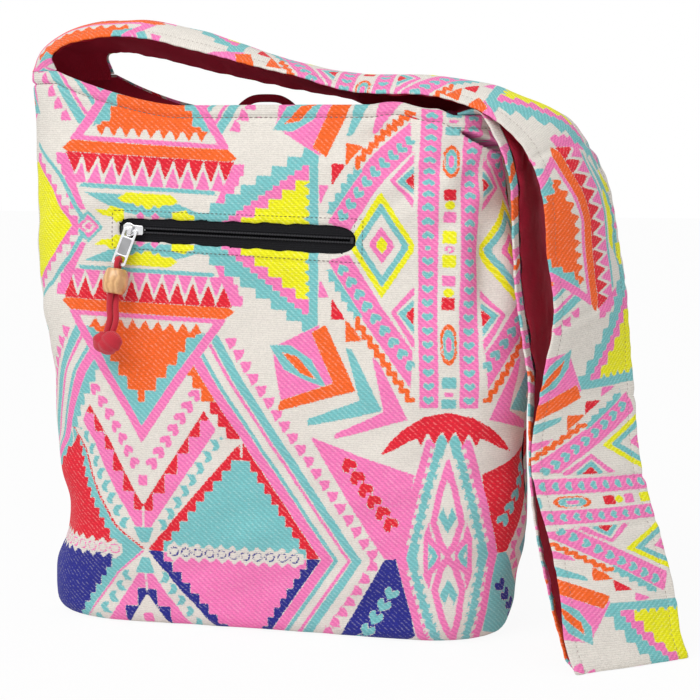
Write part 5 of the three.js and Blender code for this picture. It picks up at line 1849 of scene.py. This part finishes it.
def closure_loop():
    """A narrow band sewn inside the back hem."""
    hem = float(BODY_HEIGHT)
    inside = HALF_DEPTH * float(depth_share(1.0)) + CLEARANCE - float(lining_inset(hem)) - 0.8
    y = inside - LOOP_THICKNESS / 2
    half, thick, wide = LOOP_SPAN / 2, LOOP_THICKNESS / 2, LOOP_WIDTH / 2
    right = [(half * 0.55, y - LOOP_LEAN / 2, hem + LOOP_RISE * 0.72), (half, y, hem - LOOP_SEWN / 3),
             (half, y, hem - LOOP_SEWN)]
    left = [(-x, *rest) for x, *rest in right[::-1]]
    route = left + [(0, y - LOOP_LEAN, hem + LOOP_RISE)] + right
    path = curve_points(route, np.linspace(0, 1, LOOP_STEPS)) + np.array([LOOP_MIDDLE, 0, 0])
    section = rounded_box(-thick, thick, -wide, wide + LOOP_PUFF, 0.6, 3)
    run = np.repeat(np.linspace(0, LOOP_STEPS, LOOP_STEPS), len(section))
    layers = cloth_layers(np.tile([p[1] for p in section], LOOP_STEPS), run)
    return add_object("loop_band", *tube(path, section, (0, 1, 0)), LINING_CLOTH, "lining", layers=layers)


# Stitches: how far a stitch stands out along its length, and how thick it is there

STITCH_LIFT = np.array([-0.25, 0.12, 0.22, 0.12, -0.25])
STITCH_SWELL = np.array([0.5, 0.9, 1.0, 0.9, 0.5])
STITCH_SIDES = 6

# Length, gap and thread radius of the stitches, and the box of them around the zip with its tack
HEM_STITCH, ZIP_STITCH, STRAP_STITCH = (2.8, 1.0, 0.32), (2.4, 0.9, 0.24), (2.8, 0.7, 0.16)
BOX_ASIDE, BOX_ABOVE = 5, 5.5
TACK_IN, TACK_LENGTH = 6, 7


def stitch_row(points, normals, length, gap, radius):
    """A row of thread stitches along a line on the cloth."""
    run = run_along(points)
    parts = []
    for start in np.arange(gap, run[-1] - length, length + gap):
        at = start + length * np.linspace(0, 1, len(STITCH_LIFT))
        line = np.stack([np.interp(at, run, points[:, k]) for k in range(3)], -1)
        out = np.array([np.interp(start + length / 2, run, normals[:, k]) for k in range(3)])
        line = line + out * STITCH_LIFT[:, None]
        ring, faces = tube(line, circle(1.0, STITCH_SIDES), out)
        centre = np.repeat(line, STITCH_SIDES, axis=0)
        swell = np.repeat(STITCH_SWELL * radius, STITCH_SIDES)[:, None]
        parts.append((centre + (ring - centre) * swell, faces))
    return parts


def hem_stitches(name, surface):
    """Stitching under the hem of the mouth."""
    u = np.linspace(-190, 185, 420)
    place = wall_place(u, np.full(u.shape, float(BODY_HEIGHT)))
    line, normals = surface.at(u, mouth(place, surface.side) - HEM_BAND)
    # These stitches use the pale thread greyed with painted shade of the hem's groove
    return add_object(name, *join(stitch_row(line, normals, *HEM_STITCH)), PALE_THREAD_PAINTED_SHADE, "woven_fabric")


def zip_stitches(surface):
    """The box of stitches around the zip."""
    wide = ZIP_LENGTH / 2 + BOX_ASIDE
    low, tall = SLOT_LEFT_HEIGHT / 2 + BOX_ABOVE, SLOT_RIGHT_HEIGHT / 2 + BOX_ABOVE
    box = [(-wide, low), (wide, tall), (wide, -tall), (-wide, -low), (-wide, low)]
    tack = ((wide - TACK_IN, tall), (wide - TACK_IN, tall - TACK_LENGTH))
    share = np.linspace(0, 1, 120)
    parts = []
    for a, b in [*zip(box, box[1:]), tack]:
        line, normals = surface.at(*on_zip(mix(a[0], b[0], share), mix(a[1], b[1], share)))
        parts += stitch_row(line, normals, *ZIP_STITCH)
    return add_object("zip_stitching", *join(parts), DARK_THREAD, "woven_fabric")


def strap_stitches():
    """A row of stitches beside each hem of the strap."""
    run = np.linspace(6, STRAP.length - 6, 900)
    parts = []
    for share in (STRAP_TURN / STRAP_WIDTH, 1 - STRAP_TURN / STRAP_WIDTH):
        across = np.array([share])
        outward = STRAP.outward(run, across)[:, 0]
        line = STRAP.face(run, across)[:, 0] + outward * strap_relief(run, np.full(run.shape, share))[:, None]
        parts += stitch_row(line, outward, *STRAP_STITCH)
    # The strap's stitches use the same pale thread greyed with painted shade
    return add_object("strap_stitching", *join(parts), PALE_THREAD_PAINTED_SHADE, "woven_fabric")


def dress():
    """All pieces, each hiding the solids that it replaces."""
    strands = [cord_piece("cord_front", -1), cord_piece("cord_rear", 1)]
    bead, knot = bead_piece(), knot_piece()
    for piece, node in ((strands[0][0], "pull_cord"), (bead, "wooden_bead"), (knot, "cord_knot")):
        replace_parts(piece, node)

    front, front_surface = wall_cloth("front_cloth", -1, FRONT_FOLDS, SEEDS["front"])
    back, back_surface = wall_cloth("back_cloth", 1, BACK_FOLDS, SEEDS["back"])
    base = base_cloth("base_cloth", 0.3, BOTTOM_RADIUS - 0.5, JACQUARD, "woven_fabric", True)
    strap, strap_inside = strap_cloth(), strap_lining()
    lining_front = wall_lining("lining_cloth_front", -1, SEEDS["lining_front"])
    lining_back = wall_lining("lining_cloth_back", 1, SEEDS["lining_back"])
    lining_edge = float(lining_inset(0.0)) + LINING_RADIUS - 0.5
    lining_base = base_cloth("lining_cloth_base", LINING_FLOOR + 0.6, lining_edge, LINING_CLOTH, "lining",
                             False)
    pocket, loop = pocket_bag(), closure_loop()
    for piece, node in ((front, "front_panel"), (back, "back_panel"), (base, "base_panel"),
                        (strap, "shoulder_strap"), (strap_inside, "strap_lining"),
                        (lining_front, "lining_front"), (lining_back, "lining_back"),
                        (lining_base, "lining_base"), (pocket, "pocket_bag"), (loop, "closure_loop")):
        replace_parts(piece, node)
    for which, up in (("upper", 1), ("lower", -1)):
        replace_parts(zip_tape(which, up), f"zip_tape_{which}")
        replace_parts(zip_coil(which, up), f"zip_coil_{which}")
    zip_facing()
    for which, x in (("left", CHAIN_LEFT), ("right", CHAIN_RIGHT - STOP_LENGTH)):
        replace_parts(zip_stop(which, x), f"zip_stop_{which}")
    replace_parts(slider_piece(), "zip_slider")
    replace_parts(tab_piece(), "pull_tab")
    hem_front = hem_stitches("hem_stitching_front", front_surface)
    hem_back = hem_stitches("hem_stitching_back", back_surface)
    strap_seams = strap_stitches()
    zip_box = zip_stitches(front_surface)


dress()
